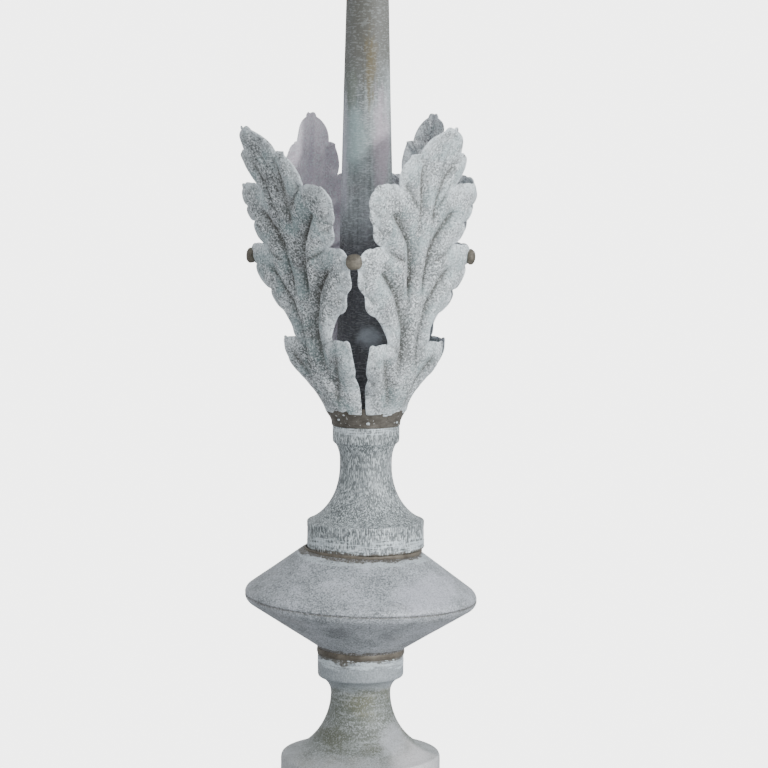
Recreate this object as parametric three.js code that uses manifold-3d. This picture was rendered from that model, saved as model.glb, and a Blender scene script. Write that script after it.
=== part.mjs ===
// Zinc roof finial: a spun foot, a double-cone knop, a spun neck, a cup of four
// pressed leaves soldered tip to tip, and a long tapered spire that rises from it.
// Millimetres, +Z up, origin at the centre of the foot's underside.
import * as THREE from 'three';
import { mergeVertices } from 'three/addons/utils/BufferGeometryUtils.js';
import Module from 'manifold-3d';

const wasm = await Module();
wasm.setup();

// Sheet and fits
const SHEET = 1.2;            // thickness of the zinc sheet
const CLEARANCE = 0.3;        // gap between a cut piece and its neighbour
const SIDES = 36;             // facets round a spun piece

// Foot: drum, flare, neck and collar, spun as one shell and open below
const FOOT_RADIUS = 80.2;
const FOOT_BAND_HEIGHT = 39;
const FOOT_SHOULDER = 5;      // rounding of the drum's upper edge
const FOOT_HEM = 8;           // hem turned in under the drum
const FOOT_NECK_RADIUS = 30.1;
const FOOT_FLARE_REACH = 60;  // half axes of the flare's quarter ellipse
const FOOT_FLARE_RISE = 64;
const FOOT_COLLAR_RADIUS = 43.2;
const FOOT_COLLAR_HEIGHT = 23;
const FOOT_COVE_REACH = 17;   // half axes of the cove under the collar
const FOOT_COVE_RISE = 17.5;

// Knop: two spun cones that meet at a rounded rim
const KNOP_SOLDER_HEIGHT = 5;
const KNOP_RIM_RADIUS = 116.2;
const KNOP_RIM_ROUND = 9.1;
const KNOP_LOWER_HEIGHT = 53;
const KNOP_UPPER_HEIGHT = 46.5;
const KNOP_TOP_RADIUS = 59.4;

// Neck: band, flare, waist and collar, spun as one
const NECK_SOLDER_HEIGHT = 3;
const NECK_BAND_RADIUS = 58.6;
const NECK_BAND_HEIGHT = 27;
const NECK_WAIST_RADIUS = 26;
const NECK_FLARE_REACH = 43;
const NECK_FLARE_RISE = 57;
const NECK_WAIST_HEIGHT = 5;
const NECK_COLLAR_RADIUS = 33.3;
const NECK_COLLAR_HEIGHT = 14.5;
const NECK_COVE_REACH = 15;
const NECK_COVE_RISE = 24;

// Solder bead that holds the four leaves round the spire's foot
const CUP_SOLDER_HEIGHT = 16;
const CUP_RADIUS = 39;        // middle of the sheet where the leaves begin

// Spire: a long cone with a blunt rounded point
const SPIRE_BASE_RADIUS = 30.9;
const SPIRE_TIP_RADIUS = 4.5;
const SPIRE_LENGTH = 1118;

// Fitting by hand: how the soldered pieces stand off the foot's axis
const KNOP_TILT = -0.031;     // rise across the knop for each millimetre towards +X
const NECK_SHIFT = 4.5;       // neck, cup and spire towards +X
const CUP_SHIFT = -6;         // ring of buttons towards +X, from where the leaves begin

// Leaf, measured on the flat sheet before it is bent
const LEAF_LENGTH = 301;
const LEAF_JOINT_GAP = 0.5;   // between neighbouring leaves where they meet
const RIB_HALF_WIDTH = 8;
const RIB_HEIGHT = 4.2;
// How far the middle of the leaf leans out of the vertical, in degrees, at shares of its length
const LEAN_PLACES = [0, 0.13, 0.23, 0.4, 0.55, 0.72, 0.86, 1];
const LEAN_BELOW = [30, 24, 12, 10, 13];
const TWIST_FROM = 0.55;      // share of the length above which a leaf is turned by its twist
const LEAVES = [
  {
    name: 'leaf_front_left', turn: 223.5, twist: -3.5, leanAbove: [24, 25, 44],
    slides: [0, 3, 6, 2, 0, -4, -5, 3, 4], sways: [0, 3, 6, 2, 0, 3, 11, 0, 5], endWidth: 1,
  },
  {
    name: 'leaf_front_right', turn: 316.5, twist: 0, leanAbove: [14, 19, 38],
    slides: [0, 0, 1, 0, 0, -4, -5, -2, -4], sways: [0, -1, -3, -3, 0, -3, -3, 4, 5], endWidth: 1.04,
  },
  {
    name: 'leaf_back_right', turn: 45, twist: 0, leanAbove: [8, 8, 8],
    slides: [0, 1, 3, 0, 0, 0, 0, 7, 4], sways: [0, 0, 0, 0, 0, 0, 2, 8, 8], endWidth: 0.86,
  },
  {
    name: 'leaf_back_left', turn: 135, twist: 0, leanAbove: [-11, -18, 10],
    slides: [0, 0, 0, 0, 0, 1, 2, 8, 6], sways: [0, 0, 0, 0, 0, 0, 0, 3, 3], endWidth: 0.8,
  },
];
// A leaf's slides and sways are how far its lobes are moved along it and across it by hand,
// at these shares of its length. The end lobe is widened or narrowed above END_FROM.
const SHIFT_PLACES = [0, 0.12, 0.235, 0.35, 0.57, 0.66, 0.78, 0.87, 1];
const END_FROM = 0.77;
// Margin of one half, from the base to the point: each step is a scallop that ends at
// [share of the length, half-width] and swells outwards by its bulge. The second lobes of
// neighbouring leaves meet, so theirs is given as the distance back from that meeting.
const MEETING_PLACE = 0.527;
const MARGIN = [
  { name: 'lower scallop of the first lobe', to: [0.145, 40], bulge: 1.5 },
  { name: 'upper scallop of the first lobe', to: [0.234, 47.5], bulge: 4 },
  { name: 'top of the first lobe', to: [0.247, 27], bulge: 0.9 },
  { name: 'stalk of the second lobe', to: [0.335, 41], bulge: -3 },
  { name: 'lower scallop of the second lobe', to: [0.413], back: 19.5, bulge: 5 },
  { name: 'middle scallop of the second lobe', to: [0.497], back: 6.5, bulge: 4.5 },
  { name: 'upper scallop of the second lobe', to: [0.55], back: 5.5, bulge: 3 },
  { name: 'top of the second lobe', to: [0.57, 46], bulge: 2 },
  { name: 'lower scallop of the third lobe', to: [0.657, 61.5], bulge: 6 },
  { name: 'middle scallop of the third lobe', to: [0.712, 67.5], bulge: 3.5 },
  { name: 'upper scallop of the third lobe', to: [0.775, 67], bulge: 4 },
  { name: 'top of the third lobe', to: [0.79, 36], bulge: 1 },
  { name: 'shoulder of the end lobe', to: [0.88, 34], bulge: 6 },
  { name: 'notch of the end lobe', to: [0.888, 26], bulge: 1 },
  { name: 'point of the end lobe', to: [0.985, 0], bulge: 6 },
];
const LOBE_FLARE = 5.5;       // how far the first lobes are bent out at their ends
// Furrows pressed into the lobes: the furrow stays beside the rib up to leave, then runs
// out to reach at its end. Places are shares of the length.
const FURROWS = [
  { start: -0.2, leave: 0, end: 0.215, reach: 34, depth: 3 },
  { start: 0, leave: 0.24, end: 0.52, reach: 52, depth: 6 },
  { start: 0.36, leave: 0.45, end: 0.75, reach: 48, depth: 6 },
  { start: 0.66, leave: 0.7, end: 0.87, reach: 22, depth: 2.5 },
];

// Solder buttons where the second lobes of two leaves meet
const BUTTON_RADIUS = 8;
const BUTTON_THICKNESS = 10;
const BUTTON_SETBACK = 1.5;   // how far its middle lies inside the corner of the leaves

const zinc = new THREE.MeshStandardMaterial({ color: 0x9ea5a7, roughness: 0.82, metalness: 0.35 });
const paleZinc = new THREE.MeshStandardMaterial({ color: 0xb2b9bc, roughness: 0.88, metalness: 0.25 });
const solder = new THREE.MeshStandardMaterial({ color: 0x76736a, roughness: 0.7, metalness: 0.45 });

const UP = new THREE.Vector3(0, 0, 1);

const clamped = (t) => Math.min(1, Math.max(0, t));

const smooth = (t) => {
  const x = clamped(t);
  return x * x * (3 - 2 * x);
};

const arcSteps = (count) => Array.from({ length: count + 1 }, (_, i) => i / count);

// Quarter-ellipse curve that leaves a waist upright and spreads to a wider radius.
// It gives [radius, distance from the waist] pairs, from the waist outwards.
function spread(waistRadius, edgeRadius, reach, rise, steps) {
  const last = Math.acos(Math.max(0, 1 - (edgeRadius - waistRadius) / reach));
  return arcSteps(steps).map((t) => {
    const angle = last * t;
    return [waistRadius + reach * (1 - Math.cos(angle)), rise * Math.sin(angle)];
  });
}

// A solid of revolution about Z from [radius, height] pairs
function spin(name, profile, material) {
  const points = profile.map(([radius, height]) => new THREE.Vector2(radius, height));
  const geometry = new THREE.LatheGeometry(points, SIDES);
  geometry.rotateX(Math.PI / 2);
  return namedMesh(name, facingOut(welded(geometry)), material);
}

function namedMesh(name, geometry, material) {
  handSet(geometry);
  geometry.computeVertexNormals();
  const mesh = new THREE.Mesh(geometry, material);
  mesh.name = name;
  return mesh;
}

// Every point moves by a rule of its own height, so faces that touch still touch.
function handSet(geometry) {
  const at = geometry.getAttribute('position');
  for (let i = 0; i < at.count; i += 1) {
    const x = at.getX(i);
    const z = at.getZ(i);
    const onKnop = clamped((z - footTopZ) / KNOP_SOLDER_HEIGHT)
      * clamped((neckBottomZ - z) / NECK_SOLDER_HEIGHT);
    const onNeck = clamped((z - knopTopZ) / NECK_SOLDER_HEIGHT);
    at.setX(i, x + NECK_SHIFT * onNeck);
    at.setZ(i, z + KNOP_TILT * x * onKnop);
  }
}

// Shared vertices merged, and triangles that have shrunk to a line left out
function welded(geometry) {
  const bare = new THREE.BufferGeometry();
  bare.setAttribute('position', geometry.getAttribute('position'));
  bare.setIndex(geometry.getIndex());
  const merged = mergeVertices(bare, 1e-4);
  const index = merged.getIndex().array;
  const kept = [];
  for (let i = 0; i < index.length; i += 3) {
    const [a, b, c] = index.slice(i, i + 3);
    if (a !== b && b !== c && c !== a) {
      kept.push(a, b, c);
    }
  }
  merged.setIndex(kept);
  return merged;
}

function facingOut(geometry) {
  const at = geometry.getAttribute('position');
  const index = geometry.getIndex().array;
  const corner = (i) => new THREE.Vector3().fromBufferAttribute(at, index[i]);
  let volume = 0;
  for (let i = 0; i < index.length; i += 3) {
    volume += corner(i).dot(corner(i + 1).cross(corner(i + 2)));
  }
  if (volume < 0) {
    for (let i = 0; i < index.length; i += 3) {
      [index[i], index[i + 1]] = [index[i + 1], index[i]];
    }
  }
  return geometry;
}

// Heights of the joints, from the foot upwards
const footFlare = spread(
  FOOT_NECK_RADIUS, FOOT_RADIUS - FOOT_SHOULDER / 2, FOOT_FLARE_REACH, FOOT_FLARE_RISE, 6);
const footCove = spread(FOOT_NECK_RADIUS, FOOT_COLLAR_RADIUS, FOOT_COVE_REACH, FOOT_COVE_RISE, 3);
const footWaistZ = FOOT_BAND_HEIGHT + footFlare.at(-1)[1];
const footCollarZ = footWaistZ + footCove.at(-1)[1];
const footTopZ = footCollarZ + FOOT_COLLAR_HEIGHT;
const knopBottomZ = footTopZ + KNOP_SOLDER_HEIGHT;
const knopRimZ = knopBottomZ + KNOP_LOWER_HEIGHT;
const knopTopZ = knopRimZ + KNOP_UPPER_HEIGHT;
const neckBottomZ = knopTopZ + NECK_SOLDER_HEIGHT;
const neckFlare = spread(NECK_WAIST_RADIUS, NECK_BAND_RADIUS, NECK_FLARE_REACH, NECK_FLARE_RISE, 6);
const neckCove = spread(NECK_WAIST_RADIUS, NECK_COLLAR_RADIUS, NECK_COVE_REACH, NECK_COVE_RISE, 3);
const neckWaistZ = neckBottomZ + NECK_BAND_HEIGHT + neckFlare.at(-1)[1];
const neckCollarZ = neckWaistZ + NECK_WAIST_HEIGHT + neckCove.at(-1)[1];
const neckTopZ = neckCollarZ + NECK_COLLAR_HEIGHT;
const cupZ = neckTopZ + CUP_SOLDER_HEIGHT;

// Inner face of a sheet whose outer face is given from the bottom upwards, both as
// [radius, height] pairs: each corner is moved in along the mitre of the faces beside it.
function innerFace(outer, thickness) {
  const normals = outer.slice(1).map(([radius, height], i) => {
    const along = new THREE.Vector2(radius - outer[i][0], height - outer[i][1]).normalize();
    return new THREE.Vector2(-along.y, along.x);
  });
  return outer.map(([radius, height], i) => {
    const below = normals[Math.max(0, i - 1)];
    const above = normals[Math.min(normals.length - 1, i)];
    const mitre = below.clone().add(above).multiplyScalar(thickness / (1 + below.dot(above)));
    return [radius + mitre.x, height + mitre.y];
  });
}

function foot() {
  const shoulder = arcSteps(2).map((t) => {
    const angle = t * Math.PI / 2;
    return [
      FOOT_RADIUS - FOOT_SHOULDER * (1 - Math.cos(angle)),
      FOOT_BAND_HEIGHT - FOOT_SHOULDER * (1 - Math.sin(angle)),
    ];
  });
  const flareUp = [...footFlare].reverse().slice(1);
  const outside = [
    [FOOT_RADIUS, 0],
    ...shoulder,
    ...flareUp.map(([radius, drop]) => [radius, footWaistZ - drop]),
    ...footCove.slice(1).map(([radius, climb]) => [radius, footWaistZ + climb]),
    [FOOT_COLLAR_RADIUS, footTopZ],
  ];
  const inside = innerFace(outside, SHEET).slice(1).reverse();
  const hem = [
    [FOOT_RADIUS - SHEET, SHEET],
    [FOOT_RADIUS - FOOT_HEM, SHEET],
    [FOOT_RADIUS - FOOT_HEM, 0],
  ];
  return spin('foot', [...outside, ...inside, ...hem, [FOOT_RADIUS, 0]], zinc);
}

// Rounding of the knop's rim: [radius, height over the rim] pairs from slope to slope
function knopRim(lowerRadius, lowerHeight, upperRadius, upperHeight) {
  const centreRadius = KNOP_RIM_RADIUS - KNOP_RIM_ROUND;
  // A slope is the tangent from the knop's end to the rim's circle.
  const slope = (endRadius, endHeight) => {
    const across = endRadius - centreRadius;
    const distance = Math.hypot(across, endHeight);
    return Math.atan2(endHeight, across) - Math.acos(KNOP_RIM_ROUND / distance);
  };
  const place = (angle, side) => [
    centreRadius + KNOP_RIM_ROUND * Math.cos(angle),
    side * KNOP_RIM_ROUND * Math.sin(angle),
  ];
  const below = arcSteps(3).map((t) => place((1 - t) * slope(lowerRadius, lowerHeight), -1));
  const above = arcSteps(3).map((t) => place(t * slope(upperRadius, upperHeight), 1));
  return { below, above };
}

function knopHalves() {
  const { below, above } = knopRim(
    FOOT_COLLAR_RADIUS, KNOP_LOWER_HEIGHT, KNOP_TOP_RADIUS, KNOP_UPPER_HEIGHT);
  const atRim = ([radius, height]) => [radius, knopRimZ + height];
  const lower = spin('knop_lower_cone', [
    [0, knopBottomZ],
    [FOOT_COLLAR_RADIUS, knopBottomZ],
    ...below.map(atRim),
    [0, knopRimZ],
  ], zinc);
  const upper = spin('knop_upper_cone', [
    [0, knopRimZ],
    ...above.map(atRim),
    [KNOP_TOP_RADIUS, knopTopZ],
    [0, knopTopZ],
  ], zinc);
  return [lower, upper];
}

function neck() {
  return spin('neck', [
    [0, neckBottomZ],
    [NECK_BAND_RADIUS, neckBottomZ],
    ...[...neckFlare].reverse().map(([radius, drop]) => [radius, neckWaistZ - drop]),
    ...neckCove.map(([radius, climb]) => [radius, neckWaistZ + NECK_WAIST_HEIGHT + climb]),
    [NECK_COLLAR_RADIUS, neckTopZ],
    [0, neckTopZ],
  ], zinc);
}

// A bead of solder between two flat faces
function solderRing(name, innerRadius, lowerRadius, upperRadius, fromZ, toZ, swell) {
  const middle = (lowerRadius + upperRadius) / 2 + swell;
  return spin(name, [
    [innerRadius, fromZ],
    [lowerRadius, fromZ],
    [middle, (fromZ + toZ) / 2],
    [upperRadius, toZ],
    [innerRadius, toZ],
    [innerRadius, fromZ],
  ], solder);
}

function solderRings() {
  const bead = SHEET / 2;
  return [
    solderRing('solder_foot_to_knop', FOOT_COLLAR_RADIUS - SHEET, FOOT_COLLAR_RADIUS + bead,
      FOOT_COLLAR_RADIUS + 2 * bead, footTopZ, knopBottomZ, bead),
    solderRing('solder_knop_to_neck', NECK_BAND_RADIUS - 2 * FOOT_HEM, KNOP_TOP_RADIUS + bead,
      NECK_BAND_RADIUS + bead, knopTopZ, neckBottomZ, bead),
    solderRing('solder_cup', SPIRE_BASE_RADIUS + CLEARANCE, NECK_COLLAR_RADIUS + bead / 2,
      CUP_RADIUS + SHEET, neckTopZ, cupZ, -bead),
  ];
}

function spire() {
  const tipZ = neckTopZ + SPIRE_LENGTH;
  const nose = arcSteps(2).slice(1, -1).map((t) => {
    const angle = t * Math.PI / 2;
    return [SPIRE_TIP_RADIUS * Math.cos(angle), tipZ + SPIRE_TIP_RADIUS * Math.sin(angle)];
  });
  return spin('spire', [
    [0, neckTopZ],
    [SPIRE_BASE_RADIUS, neckTopZ],
    [SPIRE_TIP_RADIUS, tipZ],
    ...nose,
    [0, tipZ + SPIRE_TIP_RADIUS],
  ], zinc);
}

// Half-margin of the leaf as [along, half-width] pairs, with rows per scallop
function margin(rowsPerScallop) {
  const rows = [[0, CUP_RADIUS * Math.PI / 4 - LEAF_JOINT_GAP]];
  for (const { to: [share, halfWidth], back, bulge } of MARGIN) {
    const [fromAlong, fromWidth] = rows.at(-1);
    const along = share * LEAF_LENGTH - fromAlong;
    const across = (halfWidth ?? meetingHalfWidth - back) - fromWidth;
    const length = Math.hypot(along, across);
    const steps = Math.abs(bulge) < 1.2 ? 1 : rowsPerScallop;
    for (const t of arcSteps(steps).slice(1)) {
      const swell = 4 * bulge * t * (1 - t) / length;
      rows.push([fromAlong + along * t - across * swell, fromWidth + across * t + along * swell]);
    }
  }
  return rows;
}

// Where the furrow lies at a place along the leaf, measured from the rib's middle
function furrowPath({ leave, end, reach }, place) {
  const out = Math.min(1, Math.max(0, (place - leave) / (end - leave)));
  return RIB_HALF_WIDTH + 1 + (reach - RIB_HALF_WIDTH - 1) * out ** 1.35;
}

function furrowStrength({ start, end }, place) {
  const fade = 0.07;
  return smooth((place - start) / (2 * fade)) * smooth((end + fade / 2 - place) / fade);
}

// Height of the pressed relief above the bent sheet
function relief(across, place, halfWidth) {
  const off = Math.abs(across);
  let height = RIB_HEIGHT * (1 - 0.6 * place) / (1 + (off / RIB_HALF_WIDTH) ** 4);
  for (const furrow of FURROWS) {
    const beyond = off - furrowPath(furrow, place);
    const width = beyond < 0 ? 7 : 4.5;
    const strength = furrow.depth * furrowStrength(furrow, place);
    height -= strength * Math.exp(-((beyond / width) ** 2));
    height += 0.6 * strength * Math.exp(-(((beyond - 11) / 8) ** 2));
  }
  const rim = smooth((off - halfWidth + 14) / 14) * smooth((off - 20) / 20);
  const flared = smooth((off - 20) / 18) * smooth(place / 0.12) * smooth((0.3 - place) / 0.05);
  return height - 3.5 * rim + LOBE_FLARE * flared;
}

// Value at a place, from the values at given places
function between(places, values, place) {
  const next = Math.max(1, places.findIndex((p) => p >= Math.min(place, 1)));
  const share = (Math.min(place, 1) - places[next - 1]) / (places[next] - places[next - 1]);
  return values[next - 1] + (values[next] - values[next - 1]) * share;
}

// Middle line of a leaf in its own upright plane, as a lookup from the length along it
function ribLine(leanAbove) {
  const leans = [...LEAN_BELOW, ...leanAbove];
  const lean = (place) => THREE.MathUtils.degToRad(between(LEAN_PLACES, leans, place));
  const steps = 152;
  const spare = 8;
  const line = [{ radius: CUP_RADIUS, z: cupZ, lean: lean(0) }];
  for (let i = 1; i <= steps + spare; i += 1) {
    const angle = lean((i - 0.5) / steps);
    const last = line.at(-1);
    line.push({
      radius: last.radius + Math.sin(angle) * LEAF_LENGTH / steps,
      z: last.z + Math.cos(angle) * LEAF_LENGTH / steps,
      lean: lean(i / steps),
    });
  }
  return (place) => {
    const at = Math.min(steps + spare - 1e-9, Math.max(0, place * steps));
    const i = Math.floor(at);
    const mix = (key) => line[i][key] + (line[i + 1][key] - line[i][key]) * (at - i);
    return { radius: mix('radius'), z: mix('z'), lean: mix('lean') };
  };
}

// The sheet is rolled round the cup at its base and opens out flat above the first lobes.
function bend(place) {
  const opened = smooth(place / 0.22);
  const round = 1 / CUP_RADIUS;
  return round + (0.0035 - round) * opened - 0.003 * smooth((place - 0.2) / 0.35);
}

// A point of the leaf, raised over the sheet along its normal
function leafPoint(rib, across, along, raise) {
  const place = along / LEAF_LENGTH;
  const { radius, z, lean } = rib(place);
  const curve = bend(place);
  const angle = across * curve;
  const sag = (1 - Math.cos(angle)) / curve;
  const outward = Math.cos(angle);
  return new THREE.Vector3(
    radius - sag * Math.cos(lean) + raise * outward * Math.cos(lean),
    Math.sin(angle) / curve + raise * Math.sin(angle),
    z + sag * Math.sin(lean) - raise * outward * Math.sin(lean),
  );
}

// Columns follow the rib, the furrow and the crest beside it.
function leafColumns(place, halfWidth) {
  const nearest = FURROWS.find(({ end }) => place < end) ?? FURROWS.at(-1);
  const foot = Math.min(RIB_HALF_WIDTH, halfWidth * 0.3);
  const furrow = Math.min(Math.max(furrowPath(nearest, place), foot * 1.3), halfWidth * 0.62);
  const crest = Math.min(furrow + 10, (furrow + halfWidth) / 2);
  const half = [foot, furrow, crest, halfWidth];
  return [...half.map((x) => -x).reverse(), 0, ...half];
}

// Half-width at which the second lobes of two neighbouring leaves all but touch
function findMeeting() {
  const rib = ribLine([0, 0, 0]);
  const along = MEETING_PLACE * LEAF_LENGTH;
  let halfWidth = rib(MEETING_PLACE).radius;
  for (let i = 0; i < 12; i += 1) {
    const edge = leafPoint(rib, halfWidth, along, relief(halfWidth, MEETING_PLACE, halfWidth));
    halfWidth += (edge.x - edge.y - LEAF_JOINT_GAP) / 2;
  }
  return halfWidth - SHEET / 2;
}

const meetingHalfWidth = findMeeting();
const meetingZ = ribLine([0, 0, 0])(MEETING_PLACE).z;

// Place on the sheet, as [across, along], of a point whose lobe has been moved by hand
function moved({ slides, sways, endWidth }, across, along) {
  const place = along / LEAF_LENGTH;
  const end = smooth((place - END_FROM) / 0.1);
  const off = smooth(Math.abs(across) / 30);
  const sway = between(SHIFT_PLACES, sways, place) * (off + (1 - off) * end);
  return [
    across * (1 + (endWidth - 1) * end) + sway,
    along + between(SHIFT_PLACES, slides, place),
  ];
}

function leafGeometry(leaf, extra = 0) {
  const { leanAbove, turn, twist } = leaf;
  const rib = ribLine(leanAbove);
  const rows = margin(2).slice(0, -1);
  const half = SHEET / 2 + extra;
  const points = [];
  const triangles = [];
  const blunt = 1.5;
  rows.push([MARGIN.at(-1).to[0] * LEAF_LENGTH - blunt, blunt]);
  const columns = rows.map(
    ([along, halfWidth]) => leafColumns(along / LEAF_LENGTH, halfWidth + extra));
  const wide = columns[0].length;
  for (const side of [1, -1]) {
    rows.forEach(([along, halfWidth], row) => {
      const place = along / LEAF_LENGTH;
      for (const across of columns[row]) {
        const raised = row === 0 ? 0 : relief(across, place, halfWidth) * smooth(place / 0.12);
        const point = leafPoint(rib, ...moved(leaf, across, along), raised + side * half);
        if (row === 0) {
          point.z = cupZ;
        }
        const turned = turn + twist * smooth((place - TWIST_FROM) / (1 - TWIST_FROM) * 2);
        point.applyAxisAngle(UP, THREE.MathUtils.degToRad(turned));
        point.x += CUP_SHIFT * clamped((point.z - cupZ) / (meetingZ - cupZ));
        points.push(point);
      }
    });
  }
  const back = rows.length * wide;
  const quad = (a, b, c, d) => triangles.push(a, b, c, a, c, d);
  for (let row = 0; row < rows.length - 1; row += 1) {
    for (let col = 0; col < wide - 1; col += 1) {
      const a = row * wide + col;
      quad(a, a + 1, a + 1 + wide, a + wide);
      quad(back + a, back + a + wide, back + a + 1 + wide, back + a + 1);
    }
    const left = row * wide;
    const right = left + wide - 1;
    quad(left, left + wide, back + left + wide, back + left);
    quad(right, back + right, back + right + wide, right + wide);
  }
  const top = (rows.length - 1) * wide;
  for (let col = 0; col < wide - 1; col += 1) {
    quad(col, back + col, back + col + 1, col + 1);
    quad(top + col, top + col + 1, back + top + col + 1, back + top + col);
  }
  const geometry = new THREE.BufferGeometry().setFromPoints(points);
  geometry.setIndex(triangles);
  return facingOut(welded(geometry));
}

const toSolid = (geometry) => new wasm.Manifold(new wasm.Mesh({
  numProp: 3,
  vertProperties: Float32Array.from(geometry.getAttribute('position').array),
  triVerts: Uint32Array.from(geometry.getIndex().array),
}));

function fromSolid(solid) {
  const { vertProperties, triVerts } = solid.getMesh();
  const geometry = new THREE.BufferGeometry();
  geometry.setAttribute('position', new THREE.BufferAttribute(vertProperties, 3));
  geometry.setIndex(new THREE.BufferAttribute(triVerts, 1));
  return geometry;
}

// Flattened drop of solder over the corner where two leaves meet, cut clear of both
function button(name, turn, before, after) {
  const raised = relief(meetingHalfWidth, MEETING_PLACE, meetingHalfWidth);
  const along = MEETING_PLACE * LEAF_LENGTH;
  const corner = leafPoint(ribLine(before.leanAbove), meetingHalfWidth, along, raised);
  const drop = new THREE.SphereGeometry(BUTTON_RADIUS, 10, 6);
  drop.scale(BUTTON_THICKNESS / (2 * BUTTON_RADIUS), 1, 1);
  drop.translate(Math.hypot(corner.x, corner.y) - BUTTON_SETBACK, 0, corner.z);
  drop.rotateZ(THREE.MathUtils.degToRad(turn));
  drop.translate(CUP_SHIFT, 0, 0);
  let solid = toSolid(facingOut(welded(drop)));
  for (const leaf of [before, after]) {
    solid = solid.subtract(toSolid(leafGeometry(leaf, CLEARANCE)));
  }
  const outermost = solid.decompose().sort((a, b) => b.volume() - a.volume())[0];
  return namedMesh(name, fromSolid(outermost), solder);
}

const finial = new THREE.Group();
finial.add(foot(), ...knopHalves(), neck(), ...solderRings(), spire());
for (const leaf of LEAVES) {
  finial.add(namedMesh(leaf.name, leafGeometry(leaf), paleZinc));
}
const [frontLeft, frontRight, backRight, backLeft] = LEAVES;
finial.add(
  button('solder_button_front', 270, frontLeft, frontRight),
  button('solder_button_right', 0, frontRight, backRight),
  button('solder_button_back', 90, backRight, backLeft),
  button('solder_button_left', 180, backLeft, frontLeft),
);

export default finial;
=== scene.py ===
"""Weathered zinc roof finial: spun foot, knop and neck, a cup of four pressed leaves
soldered edge to edge, and a long tapered spire.

Sizes are in millimetres inside the classes and become metres where a mesh is made.
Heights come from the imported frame, so each piece lies where its solid lies.
"""

from __future__ import annotations

import logging
import math
from dataclasses import dataclass, field
from enum import Enum
from typing import Any, Callable, Mapping, Sequence

import bmesh
import bpy
import numpy as np
from bpy.types import ColorRamp, Material, Mesh, NodeSocket, NodeTree, Object
from mathutils import Matrix, Vector, geometry, noise


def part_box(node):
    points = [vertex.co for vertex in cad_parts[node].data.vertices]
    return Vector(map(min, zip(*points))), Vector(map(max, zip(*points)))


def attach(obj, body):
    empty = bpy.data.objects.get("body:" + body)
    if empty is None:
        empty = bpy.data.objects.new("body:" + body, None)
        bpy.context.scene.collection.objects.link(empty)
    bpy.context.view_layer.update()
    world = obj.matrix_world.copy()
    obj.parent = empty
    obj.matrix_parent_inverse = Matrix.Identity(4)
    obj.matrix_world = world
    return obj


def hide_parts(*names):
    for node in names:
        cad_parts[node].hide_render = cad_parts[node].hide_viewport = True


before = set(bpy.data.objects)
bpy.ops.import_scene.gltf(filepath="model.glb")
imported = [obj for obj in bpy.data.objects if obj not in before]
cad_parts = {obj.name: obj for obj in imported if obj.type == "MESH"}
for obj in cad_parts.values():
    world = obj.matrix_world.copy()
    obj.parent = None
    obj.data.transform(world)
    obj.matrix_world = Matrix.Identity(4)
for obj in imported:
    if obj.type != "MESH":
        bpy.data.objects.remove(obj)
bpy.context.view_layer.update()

log = logging.getLogger("finial")

MM = 0.001
BODY = "root"
SHEET = 1.2
TINY = 1e-6

Line = list[tuple[float, float]]
Colour = tuple[float, float, float, float]
Triple = tuple[float, float, float]


def srgb(red: int, green: int, blue: int) -> Colour:
    """Scene-linear colour of a colour given in display values from 0 to 255."""

    def linear(value: int) -> float:
        """Scene-linear share of one display value."""
        share = value / 255
        return share / 12.92 if share <= 0.04045 else ((share + 0.055) / 1.055) ** 2.4

    return linear(red), linear(green), linear(blue), 1.0


def smooth(value: np.ndarray | float) -> np.ndarray:
    """Smooth step of a value from 0 to 1, flat beyond both ends."""
    share = np.clip(value, 0.0, 1.0)
    return share * share * (3.0 - 2.0 * share)


def height_of(node: str, top: bool) -> float:
    """Lowest or highest point of a node of the frame.

    Args:
        node: Name of the node.
        top: Whether the highest point is asked for.

    Returns:
        The height in millimetres.
    """
    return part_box(node)[1 if top else 0].z / MM


class Slot(Enum):
    """Names of material slots, kept on the spun pieces but read nowhere in this script."""

    FOOT = "zinc_foot"
    KNOP = "zinc_knop"
    NECK = "zinc_neck"
    SPIRE = "zinc_spire"
    LEAF = "zinc_leaf"
    SOLDER = "solder"


# Node trees


class Shade:
    """A socket of a node tree that can stand in a Python expression."""

    def __init__(self, graph: Graph, socket: NodeSocket) -> None:
        """Keep the socket and the graph that it belongs to."""
        self.graph = graph
        self.socket = socket

    def math(self, operation: str, *others: Any) -> Shade:
        """Result of a Math node whose first value is this one."""
        values = dict(enumerate((self, *others)))
        return self.graph.node("ShaderNodeMath", {"operation": operation}, values)

    def __add__(self, other: Any) -> Shade:
        """Sum."""
        return self.math("ADD", other)

    __radd__ = __add__

    def __sub__(self, other: Any) -> Shade:
        """Difference."""
        return self.math("SUBTRACT", other)

    def __rsub__(self, other: Any) -> Shade:
        """Difference from a number."""
        return self.math("MULTIPLY", -1.0).math("ADD", other)

    def __mul__(self, other: Any) -> Shade:
        """Product."""
        return self.math("MULTIPLY", other)

    __rmul__ = __mul__

    def __truediv__(self, other: Any) -> Shade:
        """Quotient."""
        return self.math("DIVIDE", other)

    def __pow__(self, other: Any) -> Shade:
        """Power."""
        return self.math("POWER", other)

    def __abs__(self) -> Shade:
        """Absolute value."""
        return self.math("ABSOLUTE")

    def rise(self, low: float, high: float) -> Shade:
        """Smooth step that is 0 at low and 1 at high."""
        return self.graph.node(
            "ShaderNodeMapRange",
            {"interpolation_type": "SMOOTHSTEP"},
            {"Value": self, "From Min": low, "From Max": high},
        )


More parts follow.
